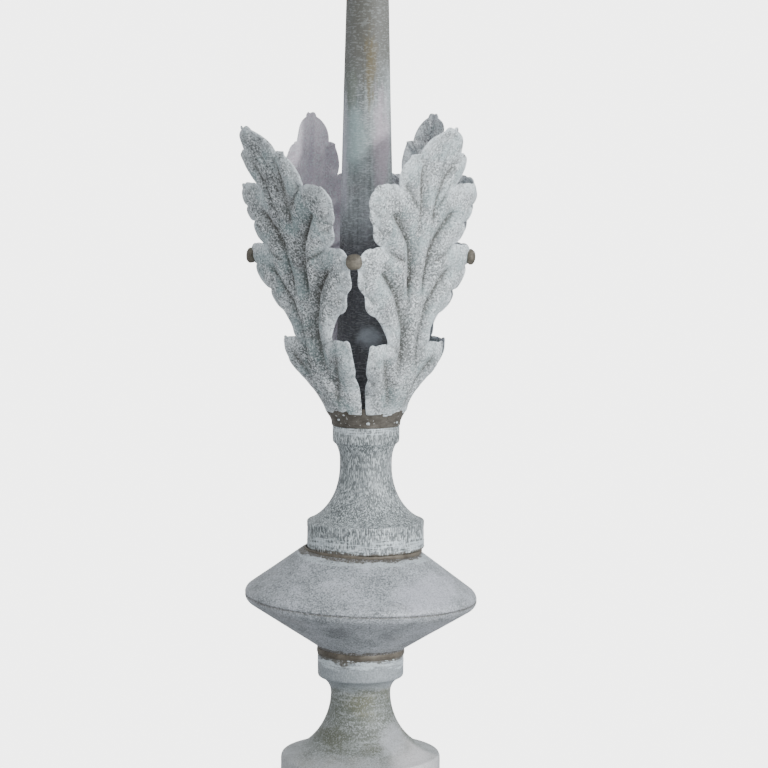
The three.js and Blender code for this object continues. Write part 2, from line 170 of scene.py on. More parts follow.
class Graph:
    """A node tree that is written as calls and expressions."""

    def __init__(self, tree: NodeTree) -> None:
        """Start on an empty tree."""
        self.tree = tree
        tree.nodes.clear()

    def node(
        self,
        kind: str,
        settings: Mapping[str, Any] | None = None,
        sockets: Mapping[int | str, Any] | None = None,
        output: int | str = 0,
    ) -> Shade | None:
        """Add a node.

        Args:
            kind: Type name of the node.
            settings: Properties of the node, set before its sockets; "stops" fills a ramp.
            sockets: Value or link of each input, by name or number.
            output: Output that the call gives back, by name or number.

        Returns:
            The output, or None for a node that has none.
        """
        made = self.tree.nodes.new(kind)
        for name, value in (settings or {}).items():
            if name == "stops":
                self.fill_ramp(made.color_ramp, value)
            else:
                setattr(made, name, value)
        for key, value in (sockets or {}).items():
            if isinstance(value, Shade):
                self.tree.links.new(value.socket, made.inputs[key])
            else:
                made.inputs[key].default_value = value
        return Shade(self, made.outputs[output]) if made.outputs else None

    @staticmethod
    def fill_ramp(ramp: ColorRamp, stops: Sequence[tuple[float, Colour]]) -> None:
        """Give a colour ramp its stops, from low to high."""
        while len(ramp.elements) < len(stops):
            ramp.elements.new(1.0)
        for element, (place, colour) in zip(ramp.elements, stops):
            element.position = place
            element.color = colour

    def xyz(self, **parts: Any) -> Shade:
        """Vector put together from its parts, 0 where none is given."""
        return self.node("ShaderNodeCombineXYZ", None, parts)

    def part(self, vector: Shade, axis: str) -> Shade:
        """Part of a vector along an axis."""
        return self.node("ShaderNodeSeparateXYZ", None, {0: vector}, axis)

    def blend(self, below: Any, above: Any, share: Any) -> Shade:
        """Colour above laid over colour below by a share."""
        return self.node(
            "ShaderNodeMix",
            {"data_type": "RGBA", "clamp_factor": True},
            {0: share, 6: below, 7: above},
            output=2,
        )

    def principled(self, **sockets: Any) -> Shade:
        """Principled shader, each input named with _ for a blank."""
        named = {name.replace("_", " "): value for name, value in sockets.items()}
        return self.node("ShaderNodeBsdfPrincipled", None, named)

    def bump(self, strength: float, distance: float, relief: Shade) -> Shade:
        """Normal of a fine relief whose depth is in millimetres."""
        return self.node(
            "ShaderNodeBump",
            None,
            {"Strength": strength, "Distance": distance * MM, "Height": relief},
        )

    def positioned(self, shape: Shade, place: Shade) -> Shade:
        """Geometry whose points are set to new places."""
        return self.node("GeometryNodeSetPosition", None, {"Geometry": shape, "Position": place})

    def shifted(self, shape: Shade, offset: Shade) -> Shade:
        """Geometry whose points are moved."""
        return self.node("GeometryNodeSetPosition", None, {"Geometry": shape, "Offset": offset})

    def circle(self, resolution: Any, radius: Any) -> Shade:
        """Curve circle round the Z axis."""
        return self.node(
            "GeometryNodeCurvePrimitiveCircle",
            {"mode": "RADIUS"},
            {"Resolution": resolution, "Radius": radius},
        )

    def points(self, count: Shade) -> Shade:
        """Mesh line of a number of points."""
        return self.node("GeometryNodeMeshLine", {"mode": "OFFSET"}, {"Count": count})

    def stretched(self, vector: Shade, scale: Triple, seed: float) -> Shade:
        """Vector scaled along each axis and moved to a place of its own."""
        return self.node(
            "ShaderNodeVectorMath",
            {"operation": "MULTIPLY_ADD"},
            {0: vector, 1: scale, 2: (seed * 3.7, seed * 5.3, seed * 7.9)},
        )

    def noise(
        self,
        vector: Shade,
        size: float | Triple,
        seed: float = 0.0,
        detail: float = 3.0,
        rough: float = 0.55,
        warp: float = 0.0,
    ) -> Shade:
        """Noise whose features have a size in millimetres, along each axis if three are given."""
        sizes = size if isinstance(size, tuple) else (size, size, size)
        scale = tuple(1.0 / (MM * one) for one in sizes)
        return self.node(
            "ShaderNodeTexNoise",
            None,
            {
                "Vector": self.stretched(vector, scale, seed),
                "Scale": 1.0,
                "Detail": detail,
                "Roughness": rough,
                "Distortion": warp,
            },
        )

    def attribute(self, name: str, output: str = "Fac") -> Shade:
        """Attribute that a mesh carries."""
        return self.node("ShaderNodeAttribute", {"attribute_name": name}, None, output)


# Finishes


def start_material(name: str) -> tuple[Material, Graph, Shade]:
    """New material, its empty tree, and the object coordinates in it."""
    made = bpy.data.materials.new(name)
    made.use_nodes = True
    graph = Graph(made.node_tree)
    return made, graph, graph.node("ShaderNodeTexCoord", None, None, "Object")


@dataclass(frozen=True)
class Band:
    """A ring of another colour round a joint or along a piece, with a ragged edge: most are the
    piece's own colour, some are painted shade.

    Heights are in millimetres on the piece as it stands. A streak other than 0 breaks the ring
    up into level brush marks, the crisper the smaller it is.
    """

    low: float
    high: float
    colour: Colour
    strength: float = 1.0
    wave: float = 3.0
    ragged: float = 2.0
    edge: float = 0.7
    streak: float = 0.0
    seed: float = 0.0
    wave_size: Triple = (38.0, 38.0, 60.0)
    ragged_size: Triple = (7.0, 7.0, 5.0)
    streak_size: Triple = (26.0, 26.0, 2.2)
    spread: float = 2.4

    def mask(self, graph: Graph, at: Shade, height: Shade) -> Shade:
        """Share of the ring over the surface.

        Args:
            graph: Tree to add to.
            at: Object coordinates.
            height: Height in millimetres.

        Returns:
            A value from 0 to 1.
        """
        slow = graph.noise(at, self.wave_size, self.seed, detail=1.0)
        quick = graph.noise(at, self.ragged_size, self.seed + 3.0, detail=3.0, rough=0.6)
        moved = height + (slow - 0.5) * (self.spread * self.wave)
        moved = moved + (quick - 0.5) * (self.spread * self.ragged)
        inside = moved.rise(self.low - self.edge, self.low + self.edge)
        inside = inside * (1 - moved.rise(self.high - self.edge, self.high + self.edge))
        if self.streak:
            lines = graph.noise(at, self.streak_size, self.seed + 9.0, detail=3.0, rough=0.65)
            inside = inside * lines.rise(0.5 - self.streak, 0.5 + 0.5 * self.streak)
        return inside * self.strength


@dataclass(frozen=True)
class Patch:
    """A ragged blotch of another colour on the front of a piece, in millimetres: some are the
    piece's own colour, others painted light and shade.
    """

    across: float
    height: float
    half_width: float
    half_height: float
    colour: Colour
    strength: float = 0.5
    ragged: float = 0.6
    seed: float = 0.0
    softness: float = 0.7
    side_fade: float = 14.0
    grain_across: float = 0.6
    grain_up: float = 0.4
    spread: float = 2.2

    def mask(self, graph: Graph, at: Shade, height: Shade) -> Shade:
        """Share of the patch over the surface.

        Args:
            graph: Tree to add to.
            at: Object coordinates.
            height: Height in millimetres.

        Returns:
            A value from 0 to 1.
        """
        across = graph.part(at, "X") * (1.0 / MM) - self.across
        off = (across / self.half_width) ** 2 + ((height - self.height) / self.half_height) ** 2
        grain = self.half_width * self.grain_across
        size = (grain, grain, self.half_height * self.grain_up)
        uneven = graph.noise(at, size, self.seed, detail=4.0, rough=0.65)
        reach = 1 - off.math("SQRT") + (uneven - 0.5) * (self.spread * self.ragged)
        front = 1 - graph.part(at, "Y").rise(-self.side_fade * MM, 0.0)
        return reach.rise(0.0, self.softness) * front * self.strength


@dataclass(frozen=True)
class Zinc:
    """Weathered zinc: three tones of oxide in blotches, grain and streaks, with staining and
    painted light and shade laid on.
    """

    name: str
    dark: Colour
    middle: Colour
    pale: Colour
    grain: float = 1.0
    grain_size: Triple = (2.0, 2.0, 2.0)
    speck: float = 0.0
    speck_size: Triple = (1.8, 1.8, 1.8)
    salt: Colour = srgb(226, 235, 238)
    tilt: float = 0.0
    blotch: float = 1.0
    blotch_size: Triple = (30.0, 30.0, 30.0)
    streak: float = 0.0
    streak_size: Triple = (3.0, 3.0, 60.0)
    tint: Colour = srgb(150, 140, 118)
    tint_share: float = 0.2
    tint_size: Triple = (45.0, 45.0, 22.0)
    roughness: float = 0.62
    rough_spread: float = 0.25
    metallic: float = 0.25
    bump: float = 0.35
    bump_depth: float = 0.9
    clump: float = 2.6
    contrast: float = 1.6
    grain_contrast: float = 1.7
    clump_contrast: float = 0.9
    speck_over: float = 0.5
    pit_size: float = 3.2
    pepper_at: tuple[float, float] = (0.53, 0.58)
    salt_at: tuple[float, float] = (0.55, 0.6)
    ramp: Triple = (0.12, 0.5, 0.9)
    stains_and_painted_light: tuple[Band | Patch, ...] = ()
    seed: float = 0.0

    def tones(self, graph: Graph, at: Shade) -> tuple[Shade, Shade]:
        """Colour of the oxide without its stains, and the grain that also roughens it."""
        grain = graph.noise(at, self.grain_size, self.seed + 1.0, detail=3.0, rough=0.7)
        coarse = tuple(self.clump * one for one in self.grain_size)
        clumps = graph.noise(at, coarse, self.seed + 2.0, detail=2.0, rough=0.6)
        blotches = graph.noise(
            at, self.blotch_size, self.seed + 3.0, detail=4.0, rough=0.6, warp=0.4)
        streaks = graph.noise(at, self.streak_size, self.seed + 4.0, detail=3.0, rough=0.6)
        level = (
            0.5
            + (blotches - 0.5) * (self.contrast * self.blotch)
            + (grain - 0.5) * (self.grain_contrast * self.grain)
            + (clumps - 0.5) * (self.clump_contrast * self.grain)
            + (streaks - 0.5) * (self.contrast * self.streak)
        )
        colour = graph.node(
            "ShaderNodeValToRGB",
            {"stops": list(zip(self.ramp, (self.dark, self.middle, self.pale)))},
            {"Fac": level},
            "Color",
        )
        hue = graph.noise(at, self.tint_size, self.seed + 5.0, detail=3.0, rough=0.6)
        colour = graph.blend(colour, self.tint, hue.rise(0.5, 0.8) * self.tint_share)
        return self.speckled(graph, at, colour, self.speck), grain

    def speckled(self, graph: Graph, at: Shade, colour: Shade, share: float) -> Shade:
        """Colour strewn with fine dark and pale specks."""
        if not share:
            return colour
        pepper = graph.noise(at, self.speck_size, self.seed + 21.0, detail=1.0)
        salt = graph.noise(at, self.speck_size, self.seed + 22.0, detail=1.0)
        colour = graph.blend(colour, self.dark, pepper.rise(*self.pepper_at) * share)
        return graph.blend(colour, self.salt, salt.rise(*self.salt_at) * share)

    def dressed(self, graph: Graph, at: Shade, colour: Shade) -> tuple[Shade, Shade | float]:
        """Colour with the staining and the painted light and shade laid on, and how much of the
        surface they cover.
        """
        height = graph.part(at, "Z") * (1.0 / MM)
        if self.tilt:
            height = height - graph.part(at, "X") * (self.tilt / MM)
        covered: Shade | float = 0.0
        for mark in self.stains_and_painted_light:
            mask = mark.mask(graph, at, height)
            colour = graph.blend(colour, mark.colour, mask)
            covered = mask + covered
        return self.speckled(graph, at, colour, self.speck * self.speck_over), covered

    def material(self) -> Material:
        """The finish as a material."""
        made, graph, at = start_material(self.name)
        colour, grain = self.tones(graph, at)
        colour, covered = self.dressed(graph, at, colour)
        self.surface(graph, at, colour, grain, covered)
        return made

    def surface(
        self, graph: Graph, at: Shade, colour: Shade, grain: Shade, covered: Shade | float
    ) -> None:
        """Close the tree with the shader and its fine relief."""
        pits = graph.noise(at, self.pit_size, self.seed + 6.0, detail=4.0, rough=0.65)
        relief = pits * 0.7 + grain * 0.3 + covered * 0.35
        shader = graph.principled(
            Base_Color=colour,
            Roughness=(grain - 0.5) * self.rough_spread + self.roughness,
            Metallic=self.metallic,
            Normal=graph.bump(self.bump, self.bump_depth, relief),
        )
        graph.node("ShaderNodeOutputMaterial", None, {"Surface": shader})


@dataclass(frozen=True)
class LeafZinc(Zinc):
    """Pressed zinc leaf: dirt and painted shade lie in the creases, painted light pales the right
    front, the rims are rubbed pale, and the lining is painted pale to lift the shade inside the
    cup.
    """

    speck_over: float = 0.3
    grime_and_shade: Colour = srgb(72, 71, 64)
    bloom: Colour = srgb(152, 177, 180)
    rim: Colour = srgb(224, 234, 238)
    # Purple-grey of the inner face, made pale as painted light for the shaded inside of the cup.
    lining: Colour = srgb(222, 212, 224)
    bloom_share: float = 0.55
    line_share: float = 0.34
    # Painted light on the leaves' right front: its share, the width over which it rises to the
    # right, and the depth over which it fades towards the back.
    painted_light_share: float = 0.15
    painted_light_over: float = 70.0
    painted_light_side: float = 20.0
    rim_share: float = 0.95
    chalk_share: float = 0.5

    def dressed(self, graph: Graph, at: Shade, colour: Shade) -> tuple[Shade, Shade | float]:
        """Colour with dirt and painted shade in the creases, painted light on the right front, pale
        rims and the pale purple-grey lining of the cup.
        """
        hue = graph.noise(at, 26.0, self.seed + 13.0, detail=3.0, rough=0.6)
        colour = graph.blend(colour, self.bloom, hue.rise(0.46, 0.64) * self.bloom_share)
        lay = graph.attribute("lay", "Vector")
        lines = graph.noise(lay, (2.6, 34.0, 30.0), self.seed + 11.0, detail=3.0, rough=0.6)
        colour = graph.blend(colour, self.grime_and_shade, lines.rise(0.46, 0.8) * self.line_share)
        patchy = graph.noise(at, 9.0, self.seed + 12.0, detail=3.0, rough=0.65)
        # Painted light: the right front of each leaf is paled towards the rim colour, where the key
        # light falls.
        to_right = graph.part(at, "X").rise(0.0, self.painted_light_over * MM)
        painted_light = to_right * (1 - graph.part(at, "Y").rise(-self.painted_light_side * MM, 0.0))
        colour = graph.blend(colour, self.rim, painted_light * self.painted_light_share)
        # Creases darkened: partly dirt, partly painted shade where the furrows would lie in shadow.
        crease = graph.attribute("crease")
        colour = graph.blend(colour, self.grime_and_shade, crease * (patchy * 0.5 + 0.55))
        rim = graph.attribute("rim") * patchy.rise(0.3, 0.62)
        colour = graph.blend(colour, self.rim, rim * self.rim_share)
        colour = self.speckled(graph, at, colour, self.speck * self.speck_over)
        # The inner face wears a purple-grey lining, partly its own colour, partly painted light
        # that lifts the shade inside the cup.
        lining = graph.attribute("lining")
        colour = graph.blend(colour, self.lining, lining * (patchy * 0.6 + 0.42))
        chalk = graph.noise(at, 2.0, self.seed + 14.0, detail=1.0)
        colour = graph.blend(colour, self.rim, lining * chalk.rise(0.56, 0.62) * self.chalk_share)
        return colour, crease * -0.5


@dataclass(frozen=True)
class Solder:
    """Dull brown solder with pale crumbs of flux."""

    name: str = "solder_dull_brown"
    dark: Colour = srgb(78, 73, 64)
    light: Colour = srgb(120, 114, 103)
    crumb: Colour = srgb(214, 218, 216)
    crumbs: float = 0.0
    roughness: float = 0.55
    rough_spread: float = 0.3
    metallic: float = 0.35
    bump: float = 0.5
    bump_depth: float = 1.0
    seed: float = 31.0

    def material(self) -> Material:
        """The finish as a material."""
        made, graph, at = start_material(self.name)
        blotch = graph.noise(at, (14.0, 14.0, 7.0), self.seed, detail=4.0, rough=0.65)
        grain = graph.noise(at, 1.6, self.seed + 1.0, detail=3.0, rough=0.7)
        level = blotch.rise(0.3, 0.72) * 0.75 + (grain - 0.5) * 0.8 + 0.12
        colour = graph.blend(self.dark, self.light, level)
        specks = graph.noise(at, (4.0, 4.0, 3.0), self.seed + 2.0, detail=2.0, rough=0.6)
        colour = graph.blend(colour, self.crumb, specks.rise(0.66, 0.72) * self.crumbs)
        relief = blotch * 0.6 + grain * 0.4
        shader = graph.principled(
            Base_Color=colour,
            Roughness=(grain - 0.5) * self.rough_spread + self.roughness,
            Metallic=self.metallic,
            Normal=graph.bump(self.bump, self.bump_depth, relief),
        )
        graph.node("ShaderNodeOutputMaterial", None, {"Surface": shader})
        return made


# Joints of the finial


@dataclass(frozen=True)
class Joints:
    """Heights at which the pieces meet, and how far they were set out of line by hand."""

    knop_solder: float = 5.0
    neck_solder: float = 3.0
    cup_solder: float = 16.0
    knop_tilt: float = -0.031
    neck_shift: float = 4.5
    cup_shift: float = -6.0

    @property
    def foot_top(self) -> float:
        """Top of the foot's collar."""
        return height_of("foot", top=True)

    @property
    def knop_bottom(self) -> float:
        """Underside of the knop."""
        return self.foot_top + self.knop_solder

    @property
    def knop_top(self) -> float:
        """Top of the knop."""
        return self.neck_bottom - self.neck_solder

    @property
    def neck_bottom(self) -> float:
        """Underside of the neck's band."""
        return height_of("neck", top=False)

    @property
    def neck_top(self) -> float:
        """Top of the neck's collar."""
        return height_of("neck", top=True)

    @property
    def cup_bottom(self) -> float:
        """Top of the solder band, where the leaves begin."""
        return self.neck_top + self.cup_solder

    def hand_set(self, points: np.ndarray) -> np.ndarray:
        """Points of true spun pieces moved to where the maker set them.

        Args:
            points: Rows of x, y and z in millimetres.

        Returns:
            The moved rows.
        """
        moved = points.copy()
        height = points[:, 2]
        on_knop = np.clip((height - self.foot_top) / self.knop_solder, 0, 1)
        on_knop *= np.clip((self.neck_bottom - height) / self.neck_solder, 0, 1)
        on_neck = np.clip((height - self.knop_top) / self.neck_solder, 0, 1)
        moved[:, 0] += self.neck_shift * on_neck
        moved[:, 2] += self.knop_tilt * points[:, 0] * on_knop
        return moved


# Mesh making


def noise_at(points: np.ndarray, size: float, seed: float) -> np.ndarray:
    """Smooth noise from -1 to 1 at each point, with features of a size in millimetres."""
    offset = Vector((seed, seed * 1.7, seed * 2.3))
    return np.array([noise.noise(Vector(point) / size + offset) for point in points])


def mesh_from(name: str, points: np.ndarray, faces: Sequence[Sequence[int]]) -> Mesh:
    """Closed mesh with its doubles merged and its faces turned outwards.

    Args:
        name: Name of the mesh.
        points: Rows of x, y and z in millimetres.
        faces: Corners of each face.

    Returns:
        The mesh in metres.
    """
    mesh = bpy.data.meshes.new(name)
    mesh.from_pydata((points * MM).tolist(), [], [list(face) for face in faces])
    return turned_out(mesh, merge=0.001 * MM)


def turned_out(mesh: Mesh, merge: float = 0.0) -> Mesh:
    """Mesh with its faces turned outwards, and points nearer than merge, in metres, made one."""
    work = bmesh.new()
    work.from_mesh(mesh)
    if merge:
        bmesh.ops.remove_doubles(work, verts=work.verts, dist=merge)
    bmesh.ops.recalc_face_normals(work, faces=work.faces)
    work.to_mesh(mesh)
    work.free()
    return mesh


def shaded(mesh: Mesh, sharp_over: float = 50.0) -> Mesh:
    """Smooth shading with edges kept sharp over an angle in degrees."""
    mesh.polygons.foreach_set("use_smooth", [True] * len(mesh.polygons))
    mesh.set_sharp_from_angle(angle=math.radians(sharp_over))
    return mesh


def settle(
    name: str, mesh: Mesh, finish: Material, nodes: Sequence[str]
) -> Object:
    """Stand a finished mesh in the frame.

    Args:
        name: Name of the piece.
        mesh: Its mesh, in place.
        finish: Its material.
        nodes: Nodes of the frame that it stands for.

    Returns:
        The piece.
    """
    piece = bpy.data.objects.new(name, mesh)
    bpy.context.scene.collection.objects.link(piece)
    mesh.materials.clear()
    mesh.materials.append(finish)
    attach(piece, BODY)
    if nodes:
        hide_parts(*nodes)
    log.info("%s: %d faces", name, len(mesh.polygons))
    return piece


def rounded(corners: Sequence[Triple], steps: int = 5) -> Line:
    """Line through [radius, height, rounding] corners, each cut back by its rounding."""
    line: Line = []
    for index, (radius, height, rounding) in enumerate(corners):
        if not rounding or index in (0, len(corners) - 1):
            line.append((radius, height))
            continue
        corner = Vector((radius, height))
        before = Vector(corners[index - 1][:2]) - corner
        after = Vector(corners[index + 1][:2]) - corner
        start = corner + before.normalized() * min(rounding, 0.49 * before.length)
        end = corner + after.normalized() * min(rounding, 0.49 * after.length)
        for step in range(steps + 1):
            share = step / steps
            point = start * (1 - share) ** 2 + corner * 2 * share * (1 - share) + end * share**2
            line.append((point.x, point.y))
    return line


def spread(waist: float, edge: float, reach: float, rise: float, steps: int) -> Line:
    """Quarter ellipse that leaves a waist upright, as radius and distance from the waist."""
    last = math.acos(max(0.0, 1 - (edge - waist) / reach))
    angles = [last * step / steps for step in range(steps + 1)]
    return [(waist + reach * (1 - math.cos(one)), rise * math.sin(one)) for one in angles]


def dense(line: Line, longest: float) -> Line:
    """Line with points added so that no step is longer than a length."""
    filled = [line[0]]
    for (r0, z0), (r1, z1) in zip(line, line[1:]):
        count = max(1, math.ceil(math.hypot(r1 - r0, z1 - z0) / longest))
        for step in range(1, count + 1):
            share = step / count
            filled.append((r0 + (r1 - r0) * share, z0 + (z1 - z0) * share))
    return filled


def inset(line: Line, thickness: float) -> Line:
    """Inner face of a sheet whose outer face runs upwards."""
    inner = []
    for index, (radius, height) in enumerate(line):
        before = line[max(0, index - 1)]
        after = line[min(len(line) - 1, index + 1)]
        along = Vector((after[0] - before[0], after[1] - before[1])).normalized()
        inner.append((radius - along.y * thickness, height + along.x * thickness))
    return inner


@dataclass
class SpunPiece:
    """A piece spun round the finial's axis, with the small dents of hand work."""

    joints: Joints
    name: str = ""
    slot: Slot = Slot.FOOT
    sides: int = 168
    longest: float = 2.6
    dent: float = 0.3
    dent_size: float = 42.0
    ripple: float = 0.07
    ripple_size: float = 8.0
    still_radius: float = 12.0
    seed: float = 1.0

    def profile(self) -> Line:
        """Closed line, or line from the axis to the axis, as radius and height."""
        raise NotImplementedError

    def points(self, line: Line) -> np.ndarray:
        """Rings of the spun surface in millimetres, dented and set by hand."""
        angles = np.arange(self.sides) * (2 * math.pi / self.sides)
        radius = np.array([one[0] for one in line])[:, None]
        height = np.array([one[1] for one in line])[:, None]
        rows = np.stack(
            [radius * np.cos(angles), radius * np.sin(angles), height + 0 * angles], axis=-1)
        flat = rows.reshape(-1, 3)
        swell = self.dent * noise_at(flat, self.dent_size, self.seed)
        swell += self.ripple * noise_at(flat, self.ripple_size, self.seed + 5.0)
        away = np.hypot(flat[:, 0], flat[:, 1])
        share = np.where(away > TINY, swell / np.maximum(away, TINY), 0.0)
        held = 1 + share * smooth(away / self.still_radius)
        flat[:, 0] *= held
        flat[:, 1] *= held
        return self.joints.hand_set(flat)

    def build(self, finish: Material) -> Object:
        """Make the piece and lay its finish on it.

        Args:
            finish: Material of the piece.

        Returns:
            The piece, in place of its node.
        """
        line = dense(self.profile(), self.longest)
        points = self.points(line)
        faces = []
        for ring in range(len(line) - 1):
            for side in range(self.sides):
                beside = (side + 1) % self.sides
                faces.append((
                    ring * self.sides + side,
                    ring * self.sides + beside,
                    (ring + 1) * self.sides + beside,
                    (ring + 1) * self.sides + side,
                ))
        mesh = shaded(mesh_from(self.name, points, faces))
        return settle(f"{self.name}_finished", mesh, finish, [self.name])


@dataclass
class Foot(SpunPiece):
    """Hollow foot: drum with a turned-in hem, flare, neck and collar."""

    name: str = "foot"
    slot: Slot = Slot.FOOT
    radius: float = 80.2
    band_height: float = 39.0
    shoulder: float = 5.0
    hem: float = 8.0
    neck_radius: float = 30.1
    flare_reach: float = 60.0
    flare_rise: float = 64.0
    collar_radius: float = 43.2
    collar_height: float = 23.0
    cove_reach: float = 17.0
    cove_rise: float = 17.5
    collar_round: float = 3.2
    groove_height: float = 10.0
    groove_half: float = 1.0
    groove_depth: float = 0.5
    groove_round: float = 0.6
    seed: float = 2.0

    def profile(self) -> Line:
        """Outside from the drum's underside to the collar, then the inside back down."""
        top = self.joints.foot_top
        collar_bottom = top - self.collar_height
        drum = self.radius - self.shoulder / 2
        flare = spread(self.neck_radius, drum, self.flare_reach, self.flare_rise, 26)
        cove = spread(self.neck_radius, self.collar_radius, self.cove_reach, self.cove_rise, 10)
        waist = collar_bottom - cove[-1][1]
        outside = rounded([
            (self.radius, 0.0, 0.0),
            (self.radius, self.groove_height - self.groove_half, self.groove_round),
            (self.radius - self.groove_depth, self.groove_height, self.groove_round),
            (self.radius, self.groove_height + self.groove_half, self.groove_round),
            (self.radius, self.band_height, self.shoulder),
            (self.radius - self.shoulder, self.band_height + 0.8, 0.0),
        ])
        outside += [(r, waist - drop) for r, drop in reversed(flare) if r < self.radius - 8]
        outside += [(r, waist + climb) for r, climb in cove[1:-2]]
        outside += rounded([
            (cove[-2][0], waist + cove[-2][1], 0.0),
            (self.collar_radius, collar_bottom + 0.6, self.collar_round),
            (self.collar_radius, top, 0.9),
            (self.collar_radius - SHEET, top, 0.0),
        ])
        inside = inset(outside[:-1], SHEET)
        hem = [
            (self.radius - SHEET, SHEET),
            (self.radius - self.hem, SHEET),
            (self.radius - self.hem, 0.0),
            (self.radius, 0.0),
        ]
        return [*outside, *inside[1:][::-1], *hem]


@dataclass
class KnopCone(SpunPiece):
    """One of the two spun cones of the knop, up to their seam at the rim."""

    slot: Slot = Slot.KNOP
    rim_radius: float = 116.2
    rim_round: float = 9.1
    lower_height: float = 53.0
    lower_radius: float = 43.2
    top_radius: float = 59.4
    seam_depth: float = 0.9
    seam_half: float = 0.8
    dent: float = 0.45
    longest: float = 2.4

    @property
    def rim(self) -> float:
        """Height of the seam."""
        return self.joints.knop_bottom + self.lower_height

    def edge(self, end_radius: float, end_height: float) -> Line:
        """Rim's arc from the seam to the slope's tangent, then the slope's end."""
        centre = self.rim_radius - self.rim_round
        across = end_radius - centre
        last = math.atan2(abs(end_height), across)
        last -= math.acos(self.rim_round / math.hypot(across, end_height))
        side = math.copysign(1.0, end_height)
        lip = [
            (centre, self.rim),
            (self.rim_radius - self.seam_depth, self.rim),
            (self.rim_radius - 0.25, self.rim + side * self.seam_half),
        ]
        first = math.asin(self.seam_half / self.rim_round) * 1.8
        for step in range(9):
            angle = first + (last - first) * step / 8
            lip.append((
                centre + self.rim_round * math.cos(angle),
                self.rim + side * self.rim_round * math.sin(angle),
            ))
        return lip


@dataclass
class LowerCone(KnopCone):
    """Lower cone, which ends in a small turned lip over the foot's collar."""

    name: str = "knop_lower_cone"
    seed: float = 3.0

    def profile(self) -> Line:
        """From the axis below, up the slope to the seam and back to the axis."""
        bottom = self.joints.knop_bottom
        edge = self.edge(self.lower_radius, -self.lower_height)
        foot = rounded([
            (self.lower_radius - 3.0, bottom, 0.0),
            (self.lower_radius, bottom, 0.8),
            (self.lower_radius + 1.6, bottom + 2.6, 1.2),
            edge[-1] + (0.0,),
        ])
        return [(0.0, bottom), *foot[:-1], *reversed(edge), (0.0, self.rim)]


@dataclass
class UpperCone(KnopCone):
    """Upper cone, whose slope ends under the neck's band."""

    name: str = "knop_upper_cone"
    seed: float = 4.0

    def profile(self) -> Line:
        """From the axis at the seam, up the slope and back to the axis."""
        top = self.joints.knop_top
        edge = self.edge(self.top_radius, top - self.rim)
        return [(0.0, self.rim), *edge, (self.top_radius, top), (0.0, top)]


@dataclass
class Neck(SpunPiece):
    """Neck between knop and leaves: band with a fine groove, flare, waist and collar."""

    name: str = "neck"
    slot: Slot = Slot.NECK
    band_radius: float = 58.6
    band_height: float = 27.0
    waist_radius: float = 26.0
    waist_height: float = 5.0
    flare_reach: float = 43.0
    flare_rise: float = 57.0
    collar_radius: float = 33.3
    collar_height: float = 14.5
    cove_reach: float = 15.0
    cove_rise: float = 24.0
    groove_drop: float = 7.0
    groove_depth: float = 0.5
    groove_half: float = 1.1
    longest: float = 2.0
    seed: float = 6.0

    def profile(self) -> Line:
        """From the axis below, up the outside and back to the axis."""
        bottom = self.joints.neck_bottom
        top = self.joints.neck_top
        flare = spread(
            self.waist_radius, self.band_radius, self.flare_reach, self.flare_rise, 26)
        cove = spread(self.waist_radius, self.collar_radius, self.cove_reach, self.cove_rise, 10)
        lip = bottom + self.band_height
        waist = lip + flare[-1][1]
        collar_bottom = top - self.collar_height
        groove = lip - self.groove_drop
        line = rounded([
            (0.0, bottom, 0.0),
            (self.band_radius, bottom, 0.8),
            (self.band_radius - 0.3, groove - self.groove_half, 0.8),
            (self.band_radius - self.groove_depth, groove, 0.5),
            (self.band_radius - 0.1, groove + self.groove_half, 0.8),
            (self.band_radius, lip, 1.6),
            (flare[-2][0], waist - flare[-2][1], 0.0),
        ])
        line += [(r, waist - drop) for r, drop in reversed(flare[:-2])]
        line += [(r, waist + self.waist_height + climb) for r, climb in cove[:-2]]
        line += rounded([
            (cove[-3][0] + 0.5, collar_bottom - 3.2, 0.0),
            (cove[-2][0] + 0.9, collar_bottom - 1.6, 0.5),
            (self.collar_radius, collar_bottom + 1.6, 1.6),
            (self.collar_radius, top, 0.9),
            (0.0, top, 0.0),
        ])
        return line


# Pieces grown by a rule


def rule_tree(
    name: str, sizes: Sequence[str], counts: Sequence[str] = ()
) -> tuple[Graph, dict[str, Shade]]:
    """Empty geometry tree with named inputs, one of them for its material.

    Args:
        name: Name of the tree.
        sizes: Names of the inputs that take a size or a share.
        counts: Names of the inputs that take a whole number.

    Returns:
        The tree to write on, and each input as a socket.
    """
    group = bpy.data.node_groups.new(name, "GeometryNodeTree")
    group.interface.new_socket("Geometry", in_out="OUTPUT", socket_type="NodeSocketGeometry")
    kinds = {**dict.fromkeys(sizes, "Float"), **dict.fromkeys(counts, "Int")}
    kinds["Material"] = "Material"
    for label, kind in kinds.items():
        group.interface.new_socket(label, in_out="INPUT", socket_type=f"NodeSocket{kind}")
    graph = Graph(group)
    return graph, {label: graph.node("NodeGroupInput", None, None, label) for label in kinds}


def close_tree(graph: Graph, shape: Shade, material: Shade) -> NodeTree:
    """End a geometry tree with real geometry that carries its material."""
    real = graph.node("GeometryNodeRealizeInstances", None, {"Geometry": shape})
    dressed = graph.node("GeometryNodeSetMaterial", None, {"Geometry": real, "Material": material})
    graph.node("NodeGroupOutput", None, {"Geometry": dressed})
    return graph.tree


def grown(name: str, group: NodeTree, values: Mapping[str, Any]) -> Mesh:
    """Plain mesh that a geometry tree makes.

    Args:
        name: Name of the mesh.
        group: The tree.
        values: Value of each of its inputs, by name.

    Returns:
        The mesh, with its faces turned outwards.
    """
    carrier = bpy.data.objects.new(name, bpy.data.meshes.new(name))
    bpy.context.scene.collection.objects.link(carrier)
    modifier = carrier.modifiers.new("rule", "NODES")
    modifier.node_group = group
    for item in group.interface.items_tree:
        if item.name in values:
            modifier[item.identifier] = values[item.name]
    evaluated = carrier.evaluated_get(bpy.context.evaluated_depsgraph_get())
    mesh = bpy.data.meshes.new_from_object(evaluated)
    carrier.modifiers.remove(modifier)
    bpy.data.objects.remove(carrier)
    return turned_out(mesh)


